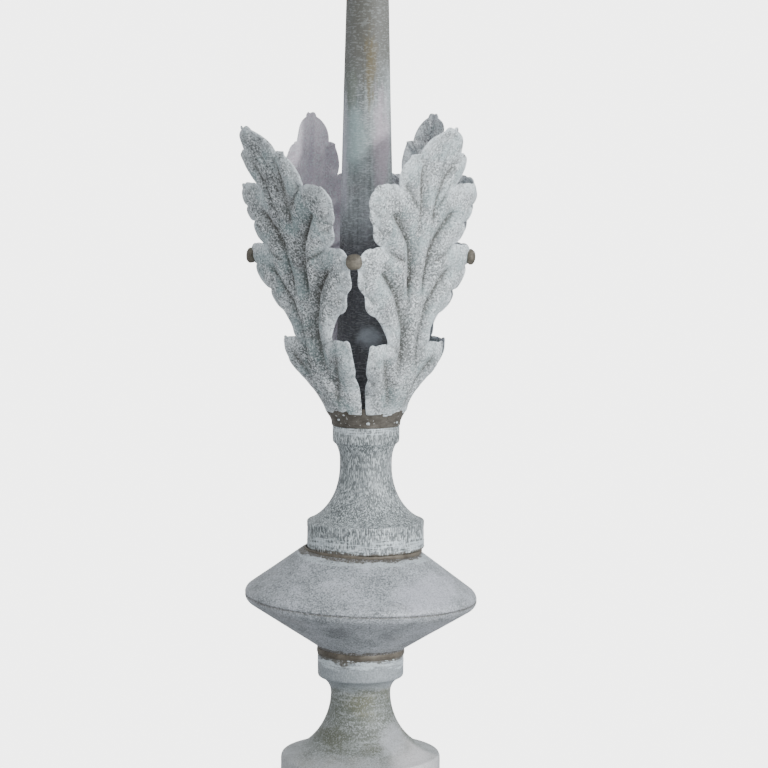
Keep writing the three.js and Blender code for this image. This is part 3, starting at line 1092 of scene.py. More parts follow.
def field_noise(graph: Graph, scale: Any, seed: Shade, around: float = 0.0) -> Shade:
    """Noise on the position of each point, from -1 to 1, for a geometry tree.

    Args:
        graph: Tree to add to.
        scale: Features for each metre.
        seed: Where the noise is read.
        around: How much further on it is read.

    Returns:
        The noise as a field.
    """
    position = graph.node("GeometryNodeInputPosition")
    moved = graph.node(
        "ShaderNodeVectorMath", {"operation": "ADD"}, {0: position, 1: seed + around})
    value = graph.node(
        "ShaderNodeTexNoise",
        None,
        {"Vector": moved, "Scale": scale, "Detail": 2.0, "Roughness": 0.6},
    )
    return (value - 0.5) * 2.0


@dataclass
class Spire:
    """Long rolled cone with a blunt point, grown along its axis."""

    joints: Joints
    base_radius: float = 30.9
    tip_radius: float = 4.5
    length: float = 1118.0
    rings: int = 360
    sides: int = 112
    dent: float = 0.35
    dent_size: float = 55.0
    seed: float = 0.4

    @staticmethod
    def tree() -> NodeTree:
        """Rings that close up towards the point, on a radius that falls with height."""
        sizes = "Base Radius", "Tip Radius", "Length", "Foot", "Shift", "Dent", "Dent Scale", "Seed"
        graph, given = rule_tree("tapered_spire", sizes, counts=("Rings", "Sides"))
        index = graph.node("GeometryNodeInputIndex")
        left = 1 - index / (given["Rings"] - 1)
        whole = given["Length"] + given["Tip Radius"]
        from_tip = left * left * whole
        fallen = ((whole - from_tip) / given["Length"]).math("MINIMUM", 1.0)
        cone = given["Base Radius"] + (given["Tip Radius"] - given["Base Radius"]) * fallen
        past = (1 - from_tip / given["Tip Radius"]).math("MAXIMUM", 0.0)
        blunt = (1 - past * past).math("MAXIMUM", 1e-5).math("SQRT")
        place = graph.xyz(X=given["Shift"], Z=given["Foot"] + whole - from_tip)
        path = graph.node("GeometryNodeMeshToCurve", None, {"Mesh": graph.points(given["Rings"])})
        ring = graph.circle(given["Sides"], 1.0)
        body = graph.node(
            "GeometryNodeCurveToMesh",
            None,
            {
                "Curve": graph.positioned(path, place),
                "Profile Curve": ring,
                "Scale": cone * blunt,
                "Fill Caps": True,
            },
        )
        swell = field_noise(graph, given["Dent Scale"], given["Seed"]) * given["Dent"]
        dented = graph.node(
            "ShaderNodeVectorMath",
            {"operation": "SCALE"},
            {0: graph.node("GeometryNodeInputNormal"), "Scale": swell},
        )
        return close_tree(graph, graph.shifted(body, dented), given["Material"])

    def build(self, finish: Material) -> Object:
        """Grow the spire and stand it in its node's place."""
        mesh = grown("spire", self.tree(), {
            "Base Radius": self.base_radius * MM,
            "Tip Radius": self.tip_radius * MM,
            "Length": self.length * MM,
            "Foot": self.joints.neck_top * MM,
            "Shift": self.joints.neck_shift * MM,
            "Rings": self.rings,
            "Sides": self.sides,
            "Dent": self.dent * MM,
            "Dent Scale": 1.0 / (self.dent_size * MM),
            "Seed": self.seed,
            "Material": finish,
        })
        return settle("spire_finished", shaded(mesh), finish, ["spire"])


RING_POINTS = 220
SECTION_POINTS = 16
WANDER_SCALE = 1 / (40.0 * MM)
SWELL_SCALE = 1 / (16.0 * MM)
SWELL_SHARE = 0.45


@dataclass
class SolderBead:
    """A wavy bead of solder round a joint, grown along a ring."""

    joints: Joints
    node: str
    radius: float
    height: float
    thickness: float
    width: float
    shift: float = 0.0
    wave: float = 1.2
    seed: float = 0.0

    @staticmethod
    def tree() -> NodeTree:
        """Ring whose height and thickness wander, flattened against the metal."""
        sizes = "Radius", "Height", "Thickness", "Flatness", "Wave", "Shift", "Tilt", "Seed"
        graph, given = rule_tree("solder_bead", sizes)
        wander = field_noise(graph, WANDER_SCALE, given["Seed"]) * given["Wave"]
        ring = graph.shifted(graph.circle(RING_POINTS, given["Radius"]), graph.xyz(Z=wander))
        swell = 1.0 + field_noise(graph, SWELL_SCALE, given["Seed"], 2.0) * SWELL_SHARE
        bead = graph.node(
            "GeometryNodeCurveToMesh",
            None,
            {
                "Curve": ring,
                "Profile Curve": graph.circle(SECTION_POINTS, given["Thickness"]),
                "Scale": swell,
            },
        )
        position = graph.node("GeometryNodeInputPosition")
        across, along, height = (graph.part(position, axis) for axis in "XYZ")
        away = (across * across + along * along).math("SQRT")
        held = (given["Radius"] + (away - given["Radius"]) * given["Flatness"]) / away
        turned = across * held
        placed = graph.xyz(
            X=turned + given["Shift"],
            Y=along * held,
            Z=height + given["Height"] + turned * given["Tilt"],
        )
        return close_tree(graph, graph.positioned(bead, placed), given["Material"])

    def build(self, finish: Material, tree: NodeTree) -> Object:
        """Grow the bead in its node's place."""
        mesh = grown(self.node, tree, {
            "Radius": self.radius * MM,
            "Height": self.height * MM,
            "Thickness": self.thickness * MM,
            "Flatness": self.width / self.thickness,
            "Wave": self.wave * MM,
            "Shift": self.shift * MM,
            "Tilt": 0.5 * self.joints.knop_tilt,
            "Seed": self.seed,
            "Material": finish,
        })
        return settle(f"{self.node}_bead", shaded(mesh), finish, [self.node])


GRAIN_DEPTH = 0.42


@dataclass
class Crumbs:
    """Pale crumbs of flux left round a joint, each a flattened grain."""

    name: str
    radius: float
    low: float
    high: float
    shift: float
    count: int = 60
    size: float = 1.0
    flare: float = 0.0
    seed: int = 1

    @staticmethod
    def tree() -> NodeTree:
        """Grains at random places on a ring, pressed flat against it."""
        sizes = "Radius", "Low", "High", "Shift", "Flare", "Size"
        graph, given = rule_tree("flux_crumbs", sizes, counts=("Count", "Seed"))

        def chance(low: Any, high: Any, turn: int) -> Shade:
            """Random number for each grain."""
            return graph.node(
                "FunctionNodeRandomValue",
                {"data_type": "FLOAT"},
                {2: low, 3: high, "Seed": given["Seed"] + turn},
                output=1,
            )

        angle = chance(0.0, 2 * math.pi, 1)
        climb = chance(0.0, 1.0, 2)
        away = given["Radius"] + climb * given["Flare"]
        place = graph.xyz(
            X=angle.math("COSINE") * away + given["Shift"],
            Y=angle.math("SINE") * away,
            Z=given["Low"] + climb * (given["High"] - given["Low"]),
        )
        spots = graph.node("GeometryNodeMeshToPoints", None, {"Mesh": graph.points(given["Count"])})
        grain = graph.node(
            "GeometryNodeMeshIcoSphere", None, {"Radius": given["Size"], "Subdivisions": 2})
        grains = graph.node(
            "GeometryNodeInstanceOnPoints",
            None,
            {
                "Points": graph.positioned(spots, place),
                "Instance": grain,
                "Rotation": graph.xyz(Z=angle),
                "Scale": graph.xyz(X=GRAIN_DEPTH, Y=chance(0.5, 1.7, 3), Z=chance(0.4, 1.0, 4)),
            },
        )
        return close_tree(graph, grains, given["Material"])

    def build(self, finish: Material, tree: NodeTree) -> Object:
        """Scatter the grains."""
        mesh = grown(self.name, tree, {
            "Radius": self.radius * MM,
            "Low": self.low * MM,
            "High": self.high * MM,
            "Shift": self.shift * MM,
            "Flare": self.flare * MM,
            "Size": self.size * MM,
            "Count": self.count,
            "Seed": self.seed,
            "Material": finish,
        })
        return settle(self.name, shaded(mesh), finish, [])


# Cup of leaves


@dataclass
class SolderCup(SpunPiece):
    """Band of solder that holds the leaves round the spire's foot."""

    name: str = "solder_cup"
    slot: Slot = Slot.SOLDER
    inner_radius: float = 31.3
    lower_radius: float = 33.9
    upper_radius: float = 40.6
    rise: float = 2.6
    dent: float = 0.45
    dent_size: float = 9.0
    longest: float = 1.1
    run: float = 2.0
    run_size: float = 15.0
    bubble: float = 0.9
    bubble_size: float = 5.0
    seed: float = 8.0

    def profile(self) -> Line:
        """Closed section of the band, hollow towards the leaves."""
        low = self.joints.neck_top
        high = self.joints.cup_bottom + self.rise
        return rounded([
            (self.inner_radius, low, 0.0),
            (self.lower_radius, low, 1.0),
            (self.lower_radius + 0.9, low + 6.0, 4.0),
            (self.upper_radius - 1.8, high - 5.0, 3.0),
            (self.upper_radius + 0.4, high, 0.8),
            (self.upper_radius - 3.4, high, 0.6),
            (self.inner_radius, self.joints.cup_bottom - 1.0, 0.0),
            (self.inner_radius, low, 0.0),
        ])

    def points(self, line: Line) -> np.ndarray:
        """Rings with the ragged upper edge of poured solder."""
        rows = super().points(line)
        low = self.joints.neck_top
        share = smooth((rows[:, 2] - low - 5.0) / (self.joints.cup_bottom - low - 4.0))
        around = rows * np.array([1.0, 1.0, 0.0])
        ragged = self.run * noise_at(around, self.run_size, self.seed)
        ragged += self.bubble * noise_at(around, self.bubble_size, self.seed + 1)
        rows[:, 2] += share * ragged
        return rows


@dataclass(frozen=True)
class Scallop:
    """Stretch of a leaf's margin up to [share of the length, half-width].

    Where it runs to the meeting of two leaves, its half-width is the distance back from there.
    """

    share: float
    half_width: float
    bulge: float
    to_meeting: bool = False
    notch: float = 0.0


@dataclass(frozen=True)
class Stroke:
    """Furrow or crease beside the rib, through [share of the length, distance from the rib]."""

    stations: tuple[tuple[float, float], ...]
    depth: float
    width: float
    sharp: float = 0.4
    crest: float = 0.0
    fade_in: float = 0.25
    fade_out: float = 0.15
    groove_half: float = 0.3
    bank_off: float = 1.9
    bank_half: float = 1.4
    shade_half: float = 0.42
    haze: float = 0.5
    haze_off: float = 0.5
    haze_half: float = 1.3
    full_depth: float = 3.0

    def pressed(self, points: np.ndarray, length: float) -> tuple[np.ndarray, ...]:
        """What the stroke does to the sheet.

        Args:
            points: Rows of distance from the rib and length along.
            length: Length of the leaf.

        Returns:
            Depth of the furrow, height of the bank beside it, and share of dirt and painted shade
            in it.
        """
        beyond, share = beside(points, curved(self.stations, length))
        strength = smooth(share / self.fade_in) * smooth((1.02 - share) / self.fade_out)
        near = np.exp(-((beyond / self.width) ** 2)) * (1 - self.sharp)
        near += self.sharp * np.exp(-np.abs(beyond) / (self.groove_half * self.width))
        bank = (beyond - self.bank_off * self.width) / (self.bank_half * self.width)
        # Dirt and painted shade: a dark line in the furrow and a broad haze beside it.
        grime_and_shade = np.exp(-((beyond / (self.shade_half * self.width)) ** 2))
        hazy = (beyond + self.haze_off * self.width) / (self.haze_half * self.width)
        grime_and_shade += self.haze * np.exp(-(hazy**2))
        return (
            self.depth * strength * near,
            self.crest * strength * np.exp(-(bank**2)),
            grime_and_shade * strength * min(1.0, self.depth / self.full_depth),
        )


@dataclass
class LeafPattern:
    """The flat sheet that each leaf is pressed from: margin, mesh and relief."""

    length: float = 301.0
    cup_radius: float = 39.0
    joint_gap: float = 0.5
    tuck: float = 1.5
    spacing: float = 1.55
    edge_step: float = 1.15
    clear_edge: float = 0.62
    edge_roll: float = -3.4
    meeting: float = 60.0
    lobe_flare: float = 5.5
    margin: tuple[Scallop, ...] = (
        Scallop(0.118, 39.0, 1.4, notch=0.8),
        Scallop(0.229, 48.6, 4.0),
        Scallop(0.242, 42.5, 3.4),
        Scallop(0.246, 27.0, 1.0),
        Scallop(0.343, 43.0, -3.2),
        Scallop(0.413, 19.5, 5.4, to_meeting=True, notch=1.0),
        Scallop(0.497, 6.5, 5.0, to_meeting=True, notch=0.9),
        Scallop(0.55, 5.5, 3.2, to_meeting=True),
        Scallop(0.566, 60.0, 2.6),
        Scallop(0.57, 46.0, 0.8),
        Scallop(0.657, 61.5, 6.2, notch=1.0),
        Scallop(0.712, 67.5, 3.6, notch=1.0),
        Scallop(0.774, 67.5, 4.0),
        Scallop(0.789, 60.0, 2.4),
        Scallop(0.79, 48.0, 1.2, notch=0.7),
        Scallop(0.778, 35.0, 2.2),
        Scallop(0.88, 34.0, 6.4, notch=1.0),
        Scallop(0.886, 26.0, 0.6),
        Scallop(0.972, 8.0, 4.6),
        Scallop(0.986, 0.0, 2.8),
    )
    strokes: tuple[Stroke, ...] = (
        Stroke(((0.0, 9.0), (0.05, 12.5), (0.1, 18.0), (0.16, 26.0), (0.212, 34.0)),
               2.4, 5.5, 0.25, 1.6),
        Stroke(((0.1, 12.4), (0.17, 11.7), (0.245, 10.4), (0.3, 11.4), (0.352, 16.5),
                (0.4, 22.5), (0.44, 30.0), (0.475, 39.0), (0.5, 47.5)),
               6.2, 6.0, 0.42, 3.6, 0.35, 0.1),
        Stroke(((0.36, 10.0), (0.44, 9.6), (0.52, 11.7), (0.565, 15.0), (0.605, 20.0),
                (0.65, 28.0), (0.68, 35.0), (0.705, 43.0)),
               6.2, 6.0, 0.42, 3.8, 0.3, 0.1),
        Stroke(((0.64, 8.6), (0.72, 9.2), (0.78, 12.5), (0.83, 17.0), (0.868, 21.5)),
               2.7, 4.5, 0.35, 1.4, 0.3, 0.15),
        Stroke(((0.515, 15.6), (0.53, 23.0), (0.545, 33.0), (0.562, 43.0)),
               3.0, 3.2, 0.6, 0.5, 0.3, 0.02),
        Stroke(((0.7, 10.0), (0.73, 17.0), (0.765, 24.0), (0.792, 31.0)),
               2.8, 3.2, 0.6, 0.6, 0.3, 0.02),
        Stroke(((0.205, 13.0), (0.235, 20.0), (0.247, 29.0)), 2.0, 3.0, 0.5, 0.3, 0.4, 0.02),
        Stroke(((0.83, 10.0), (0.855, 17.0), (0.874, 25.5)), 1.5, 2.6, 0.6, 0.2, 0.4, 0.02),
    )
    rib_places: tuple[float, ...] = (0.0, 0.13, 0.245, 0.55, 0.7, 0.9, 1.0)
    rib_widths: tuple[float, ...] = (14.0, 12.0, 10.0, 8.0, 6.4, 3.6, 2.4)
    rib_height: float = 4.2
    rib_fall: float = 0.6
    rib_fade: float = 0.14
    flute_depth: float = 0.42
    flute_pitch: float = 6.8
    valley_off: float = 1.0
    valley_half: float = 1.5
    valley_depth: float = 0.9
    valley_grime_and_shade: float = 0.45
    roll_width: float = 13.0
    roll_off: float = 14.0
    roll_over: float = 20.0
    flare_off: float = 20.0
    flare_over: float = 18.0
    flare_to: float = 0.3
    flat_hem: float = 30.0
    edge_drop: float = 0.7
    edge_half: float = 1.6
    notch_ends: tuple[tuple[float, float], ...] = ((-0.036, -10.5), (-0.013, -5.0), (0.0, 0.0))
    notch_depth: float = 2.1

    def stations(self) -> list[tuple[float, float, Scallop | None]]:
        """Ends of the scallops from the base to the point, as length along and half-width."""
        found = [(0.0, self.cup_radius * math.pi / 4 - self.joint_gap, None)]
        for one in self.margin:
            width = self.meeting - one.half_width if one.to_meeting else one.half_width
            found.append((one.share * self.length, width, one))
        return found

    def half_margin(self) -> Line:
        """Margin of one half from the base to the point, each scallop a shallow bow."""
        ends = self.stations()
        line: Line = [(ends[0][1] * 0.98, -self.tuck), (ends[0][1], 0.0)]
        for (along0, width0, _), (along1, width1, one) in zip(ends, ends[1:]):
            run, rise = along1 - along0, width1 - width0
            reach = math.hypot(run, rise)
            count = max(2, round(reach / self.edge_step))
            for step in range(1, count + 1):
                share = step / count
                swell = 4 * one.bulge * share * (1 - share) / reach
                width = width0 + rise * share + run * swell
                line.append((width, along0 + run * share - rise * swell))
        return line

    def outline(self) -> np.ndarray:
        """Closed margin, anticlockwise, as rows of distance across and length along."""
        half = self.half_margin()
        other = [(-width, along) for width, along in reversed(half[:-1])]
        base = half[0][0]
        count = round(2 * base / self.edge_step)
        hem = [(-base + 2 * base * step / count, -self.tuck) for step in range(1, count)]
        return np.array([*half, *other, *hem])

    def mesh(self) -> tuple[np.ndarray, list[tuple[int, int, int]], np.ndarray]:
        """Even triangles that fill the margin.

        Returns:
            Flat points, triangles, and each point's distance from the margin.
        """
        edge = self.outline()
        step = self.spacing
        low, high = edge.min(axis=0), edge.max(axis=0)
        rows = np.arange(low[1], high[1], step * math.sqrt(3) / 2)
        inside = []
        for index, along in enumerate(rows):
            across = np.arange(low[0], high[0], step) + (index % 2) * step / 2
            inside.append(np.stack([across, np.full_like(across, along)], axis=1))
        grid = np.concatenate(inside)
        grid = grid[within(grid, edge)]
        grid = grid[from_line(grid, edge) > self.clear_edge * step]
        points = [Vector(point) for point in (*edge, *grid)]
        loop = list(range(len(edge)))
        made = geometry.delaunay_2d_cdt(points, [], [loop], 1, 1e-5)
        flat = np.array([tuple(point) for point in made[0]])
        triangles = [tuple(face) for face in made[2]]
        first = flat[list(triangles[0])]
        turn = np.cross(first[1] - first[0], first[2] - first[0])
        if turn < 0:
            triangles = [face[::-1] for face in triangles]
        return flat, triangles, from_line(flat, edge)

    def relief(self, flat: np.ndarray, margin_at: np.ndarray) -> tuple[np.ndarray, np.ndarray]:
        """Height of the pressed relief, and how deep each point lies in a crease, which sets its
        dirt and painted shade.

        Args:
            flat: Rows of distance across and length along.
            margin_at: Distance of each from the margin.

        Returns:
            Heights in millimetres, and shares from 0 to 1.
        """
        off = np.abs(flat[:, 0])
        place = flat[:, 1] / self.length
        half = np.interp(place, self.rib_places, self.rib_widths)
        fade = smooth((1 - place) / self.rib_fade)
        height = self.rib_height * (1 - self.rib_fall * place) / (1 + (off / half) ** 5)
        flutes = self.flute_depth * np.cos(off * (2 * math.pi / self.flute_pitch))
        height += flutes * np.exp(-((off / half) ** 4)) * fade
        valley = np.exp(-(((off - half - self.valley_off) / self.valley_half) ** 2)) * fade
        height -= self.valley_depth * valley
        # The valley beside the rib gets dirt and painted shade too.
        crease = self.valley_grime_and_shade * valley
        folded = np.stack([off, flat[:, 1]], axis=1)
        for stroke in (*self.strokes, *self.notches()):
            furrow, bank, grime_and_shade = stroke.pressed(folded, self.length)
            height -= furrow
            height += bank
            crease = np.maximum(crease, grime_and_shade)
        roll = smooth((self.roll_width - margin_at) / self.roll_width)
        roll = roll * smooth((off - self.roll_off) / self.roll_over)
        height += self.edge_roll * roll - self.edge_drop * np.exp(-margin_at / self.edge_half)
        flared = smooth((off - self.flare_off) / self.flare_over)
        flared = flared * smooth(place / 0.12) * smooth((self.flare_to - place) / 0.05)
        height += self.lobe_flare * flared
        return height * smooth((flat[:, 1] + 2) / self.flat_hem), np.clip(crease, 0, 1)

    def notches(self) -> list[Stroke]:
        """Short creases that run inwards from the notches between scallops."""
        found = []
        for along, width, one in self.stations():
            if one is None or not one.notch:
                continue
            share = along / self.length
            path = tuple((share + back, width + inwards) for back, inwards in self.notch_ends)
            found.append(Stroke(path, self.notch_depth * one.notch, 2.6, 0.5, 0.4, 0.5, 0.01))
        return found


def within(points: np.ndarray, loop: np.ndarray) -> np.ndarray:
    """Which points lie inside a closed loop."""
    inside = np.zeros(len(points), dtype=bool)
    x, y = points[:, 0], points[:, 1]
    for (x0, y0), (x1, y1) in zip(loop, np.roll(loop, -1, axis=0)):
        if y0 == y1:
            continue
        crossing = (y0 > y) != (y1 > y)
        inside ^= crossing & (x < (x1 - x0) * (y - y0) / (y1 - y0) + x0)
    return inside


def from_line(points: np.ndarray, loop: np.ndarray) -> np.ndarray:
    """Distance of each point from a closed loop."""
    nearest = np.full(len(points), np.inf)
    for start, end in zip(loop, np.roll(loop, -1, axis=0)):
        run = end - start
        share = np.clip((points - start) @ run / max(run @ run, 1e-12), 0, 1)
        gap = points - start - share[:, None] * run
        nearest = np.minimum(nearest, np.einsum("ij,ij->i", gap, gap))
    return np.sqrt(nearest)


def curved(stations: Sequence[tuple[float, float]], length: float) -> np.ndarray:
    """Smooth path through [share, distance across] stations, as rows across and along."""
    knots = np.array([(across, share * length) for share, across in stations])
    gaps = np.hypot(*np.diff(knots, axis=0).T)
    places = np.concatenate([[0.0], np.cumsum(gaps)])
    slopes = np.gradient(knots, places, axis=0)
    path = []
    for index in range(len(knots) - 1):
        for share in np.linspace(0, 1, 6)[:-1]:
            span = gaps[index]
            low = (1 + 2 * share) * (1 - share) ** 2 * knots[index]
            low = low + share * (1 - share) ** 2 * span * slopes[index]
            high = share**2 * (3 - 2 * share) * knots[index + 1]
            high = high - share**2 * (1 - share) * span * slopes[index + 1]
            path.append(low + high)
    path.append(knots[-1])
    return np.array(path)


def beside(points: np.ndarray, path: np.ndarray) -> tuple[np.ndarray, np.ndarray]:
    """Where points lie beside a path.

    Args:
        points: Rows across and along.
        path: Rows across and along.

    Returns:
        Distance from the path, above 0 on its outer side, and share of its length there.
    """
    lengths = np.hypot(*np.diff(path, axis=0).T)
    starts = np.concatenate([[0.0], np.cumsum(lengths)])
    best = np.full(len(points), np.inf)
    side = np.ones(len(points))
    share_at = np.zeros(len(points))
    for index, run in enumerate(np.diff(path, axis=0)):
        share = np.clip((points - path[index]) @ run / (run @ run), 0, 1)
        gap = points - path[index] - share[:, None] * run
        distance = np.einsum("ij,ij->i", gap, gap)
        nearer = distance < best
        best = np.where(nearer, distance, best)
        outer = gap[:, 0] * run[1] - gap[:, 1] * run[0]
        side = np.where(nearer, np.where(outer >= 0, 1.0, -1.0), side)
        share_at = np.where(nearer, (starts[index] + share * lengths[index]) / starts[-1], share_at)
    return np.sqrt(best) * side, share_at


@dataclass(frozen=True)
class LeafPose:
    """How one leaf is set: its turn round the cup, its twist and its lean above the lobes.

    Its slides and sways are how far its lobes are moved along it and across it by hand.
    """

    node: str
    turn: float
    twist: float
    lean_above: Triple
    slides: tuple[float, ...]
    sways: tuple[float, ...]
    end_width: float
    # Share of the pale lining on the inner face, set leaf by leaf as painted light; low on the
    # back-right leaf, which lies in shade.
    lining: float
    seed: float


@dataclass
class LeafCup:
    """Four pressed leaves, bent from one pattern and soldered edge to edge."""

    joints: Joints
    pattern: LeafPattern = field(default_factory=LeafPattern)
    poses: tuple[LeafPose, ...] = (
        LeafPose("leaf_front_left", 223.5, -3.5, (24.0, 25.0, 44.0),
                 (0, 3, 6, 2, 0, -4, -5, 3, 4), (0, 3, 6, 2, 0, 3, 11, 0, 5), 1.0, 0.9, 11.0),
        LeafPose("leaf_front_right", 316.5, 0.0, (14.0, 19.0, 38.0),
                 (0, 0, 1, 0, 0, -4, -5, -2, -4), (0, -1, -3, -3, 0, -3, -3, 4, 5),
                 1.04, 0.9, 12.0),
        LeafPose("leaf_back_right", 45.0, 0.0, (8.0, 8.0, 8.0),
                 (0, 1, 3, 0, 0, 0, 0, 7, 4), (0, 0, 0, 0, 0, 0, 2, 8, 8), 0.86, 0.15, 13.0),
        LeafPose("leaf_back_left", 135.0, 0.0, (-11.0, -18.0, 10.0),
                 (0, 0, 0, 0, 0, 1, 2, 8, 6), (0, 0, 0, 0, 0, 0, 0, 3, 3), 0.8, 1.0, 14.0),
    )
    shift_places: tuple[float, ...] = (0.0, 0.12, 0.235, 0.35, 0.57, 0.66, 0.78, 0.87, 1.0)
    end_from: float = 0.77
    end_over: float = 0.1
    sway_width: float = 30.0
    sag_over: float = 24.0
    lean_places: tuple[float, ...] = (0.0, 0.13, 0.23, 0.4, 0.55, 0.72, 0.86, 1.0)
    lean_below: tuple[float, ...] = (30.0, 24.0, 12.0, 10.0, 13.0)
    twist_from: float = 0.55
    meeting_place: float = 0.527
    steps: int = 304
    open_curve: float = 0.0035
    open_from: float = 0.22
    flattening: float = 0.003
    flat_from: float = 0.2
    flat_over: float = 0.35
    warp: float = 1.1
    warp_size: float = 26.0
    warp_over: float = 40.0
    wobbles: tuple[tuple[float, float, int], ...] = ((0.75, 34.0, 2), (0.22, 6.5, 3), (0.1, 2.8, 4))
    rubbed_width: float = 7.5
    rim_reach: float = 0.42

    def rib(self, lean_above: Sequence[float]) -> Callable[[np.ndarray], tuple[np.ndarray, ...]]:
        """Middle line of a leaf, as a lookup of radius, height and lean by share of length."""
        leans = [*self.lean_below, *lean_above]
        length = self.pattern.length
        first = -4.0 / length
        places = np.linspace(first, 1.05, self.steps + 1)
        lean = np.radians(np.interp(places, self.lean_places, leans))
        middle = (lean[1:] + lean[:-1]) / 2
        step = length * (places[1] - places[0])
        radius = np.concatenate([[0.0], np.cumsum(np.sin(middle) * step)])
        height = np.concatenate([[0.0], np.cumsum(np.cos(middle) * step)])
        radius += self.pattern.cup_radius - np.interp(0.0, places, radius)
        height += self.joints.cup_bottom - np.interp(0.0, places, height)

        def lookup(place: np.ndarray) -> tuple[np.ndarray, ...]:
            """Radius, height and lean at shares of the length."""
            return tuple(np.interp(place, places, one) for one in (radius, height, lean))

        return lookup

    def bent(self, flat: np.ndarray, raised: np.ndarray, pose: LeafPose) -> np.ndarray:
        """Points of the sheet rolled round the cup and leaned outwards, facing +X.

        Args:
            flat: Rows of distance across and length along.
            raised: Height of each over the sheet.
            pose: How the leaf is set.

        Returns:
            Rows of x, y and z in millimetres.
        """
        across, place = flat[:, 0], flat[:, 1] / self.pattern.length
        end = smooth((place - self.end_from) / self.end_over)
        off = smooth(np.abs(across) / self.sway_width)
        across = across * (1 + (pose.end_width - 1) * end)
        across = across + np.interp(place, self.shift_places, pose.sways) * (off + (1 - off) * end)
        place = place + np.interp(place, self.shift_places, pose.slides) / self.pattern.length
        radius, height, lean = self.rib(pose.lean_above)(place)
        tight = 1 / self.pattern.cup_radius
        curve = tight + (self.open_curve - tight) * smooth(place / self.open_from)
        curve = curve - self.flattened(place)
        angle = across * curve
        sag = (1 - np.cos(angle)) / curve
        lift = raised * np.cos(angle)
        x = radius + (lift - sag) * np.cos(lean)
        y = np.sin(angle) / curve + raised * np.sin(angle)
        held = smooth(flat[:, 1] / self.sag_over)
        z = height + (sag * held - lift) * np.sin(lean)
        spare = np.maximum(0.0, np.abs(y) - x + self.pattern.joint_gap)
        return np.stack([x, y - np.sign(y) * spare, z], axis=1)

    def flattened(self, place: np.ndarray | float) -> np.ndarray:
        """How much of the sheet's curve across is gone at a share of the length."""
        return self.flattening * smooth((place - self.flat_from) / self.flat_over)

    def meeting(self) -> float:
        """Half-width at which neighbouring leaves touch, found by stepping towards it."""
        place = self.meeting_place * self.pattern.length
        width = self.pattern.meeting
        for _ in range(12):
            edge = np.array([[width, place]])
            point = self.bent_free(edge)
            width += (point[0] - point[1] - self.pattern.joint_gap) / 2
        return width

    def bent_free(self, edge: np.ndarray) -> np.ndarray:
        """Place of one margin point on a leaf with an upright top, x and y."""
        radius, _, lean = self.rib((0.0, 0.0, 0.0))(edge[:, 1] / self.pattern.length)
        curve = self.open_curve - self.flattened(edge[0, 1] / self.pattern.length)
        angle = edge[0, 0] * curve
        raised = self.pattern.edge_roll
        sag = (1 - math.cos(angle)) / curve
        x = radius[0] + (raised * math.cos(angle) - sag) * math.cos(lean[0])
        return np.array([x, math.sin(angle) / curve + raised * math.sin(angle)])

    def placed(self, points: np.ndarray, pose: LeafPose) -> np.ndarray:
        """Points of a leaf turned and set to its place in the cup."""
        cup = self.joints.cup_bottom
        along = np.clip((points[:, 2] - cup) / self.pattern.length, 0, 1)
        twisted = smooth((along - self.twist_from) / (1 - self.twist_from) * 2)
        angle = np.radians(pose.turn + pose.twist * twisted)
        x = points[:, 0] * np.cos(angle) - points[:, 1] * np.sin(angle)
        y = points[:, 0] * np.sin(angle) + points[:, 1] * np.cos(angle)
        meeting_height = self.rib((0.0, 0.0, 0.0))(np.array([self.meeting_place]))[1][0]
        lean = np.clip((points[:, 2] - cup) / (meeting_height - cup), 0, 1)
        x += self.joints.cup_shift * lean + self.joints.neck_shift
        return np.stack([x, y, points[:, 2]], axis=1)

    def leaf(
        self, pose: LeafPose, sheet: tuple[Any, ...], finish: Material
    ) -> Object:
        """Press and bend one leaf.

        Args:
            pose: How the leaf is set.
            sheet: Flat points, triangles, distances from the margin, relief and creases.
            finish: Material of the leaf.

        Returns:
            The leaf, in place of its node.
        """
        flat, triangles, margin_at, height, crease = sheet
        base = np.stack([flat[:, 0], flat[:, 1], 0 * margin_at], axis=1)
        held = smooth(flat[:, 1] / self.warp_over)
        shifts = [noise_at(base, self.warp_size, pose.seed + one) for one in (0, 7)]
        moved = flat + np.stack(shifts, axis=1) * (self.warp * held)[:, None]
        wobble = sum(
            depth * noise_at(base, size, pose.seed + one) for depth, size, one in self.wobbles)
        middle = self.placed(self.bent(moved, height + wobble * held, pose), pose)
        normal = self.normals(middle, np.array(triangles))
        edge, rim, rim_faces = self.rim(middle, normal, triangles)
        half = SHEET / 2
        points = np.concatenate([middle + normal * half, middle - normal * half, rim])
        count, lone = len(middle), len(edge)
        faces = [*triangles, *[(c + count, b + count, a + count) for a, b, c in triangles]]
        faces += rim_faces
        mesh = bpy.data.meshes.new(pose.node)
        mesh.from_pydata((points * MM).tolist(), [], faces)
        rubbed = np.exp(-margin_at / self.rubbed_width)
        values = {
            # crease: dirt and painted shade in the furrows, fainter on the inner face.
            "crease": [crease, 0.4 * crease, crease[edge]],
            "rim": [rubbed, rubbed, np.ones(lone)],
            # lining: share of the lining's colour and painted light on the inner face.
            "lining": [np.zeros(count), np.full(count, pose.lining), np.zeros(lone)],
        }
        for name, value in values.items():
            layer = mesh.attributes.new(name, "FLOAT", "POINT")
            layer.data.foreach_set("value", np.concatenate(value).astype(np.float32))
        lay = np.concatenate([base, base, base[edge]]) * MM
        layer = mesh.attributes.new("lay", "FLOAT_VECTOR", "POINT")
        layer.data.foreach_set("vector", lay.astype(np.float32).ravel())
        return settle(f"{pose.node}_pressed", shaded(mesh, 75), finish, [pose.node])

    @staticmethod
    def normals(points: np.ndarray, corner: np.ndarray) -> np.ndarray:
        """Direction in which the sheet faces at each point."""
        side_a = points[corner[:, 1]] - points[corner[:, 0]]
        side_b = points[corner[:, 2]] - points[corner[:, 0]]
        facing = np.cross(side_a, side_b)
        normal = np.zeros_like(points)
        for turn in range(3):
            np.add.at(normal, corner[:, turn], facing)
        return normal / np.linalg.norm(normal, axis=1)[:, None]

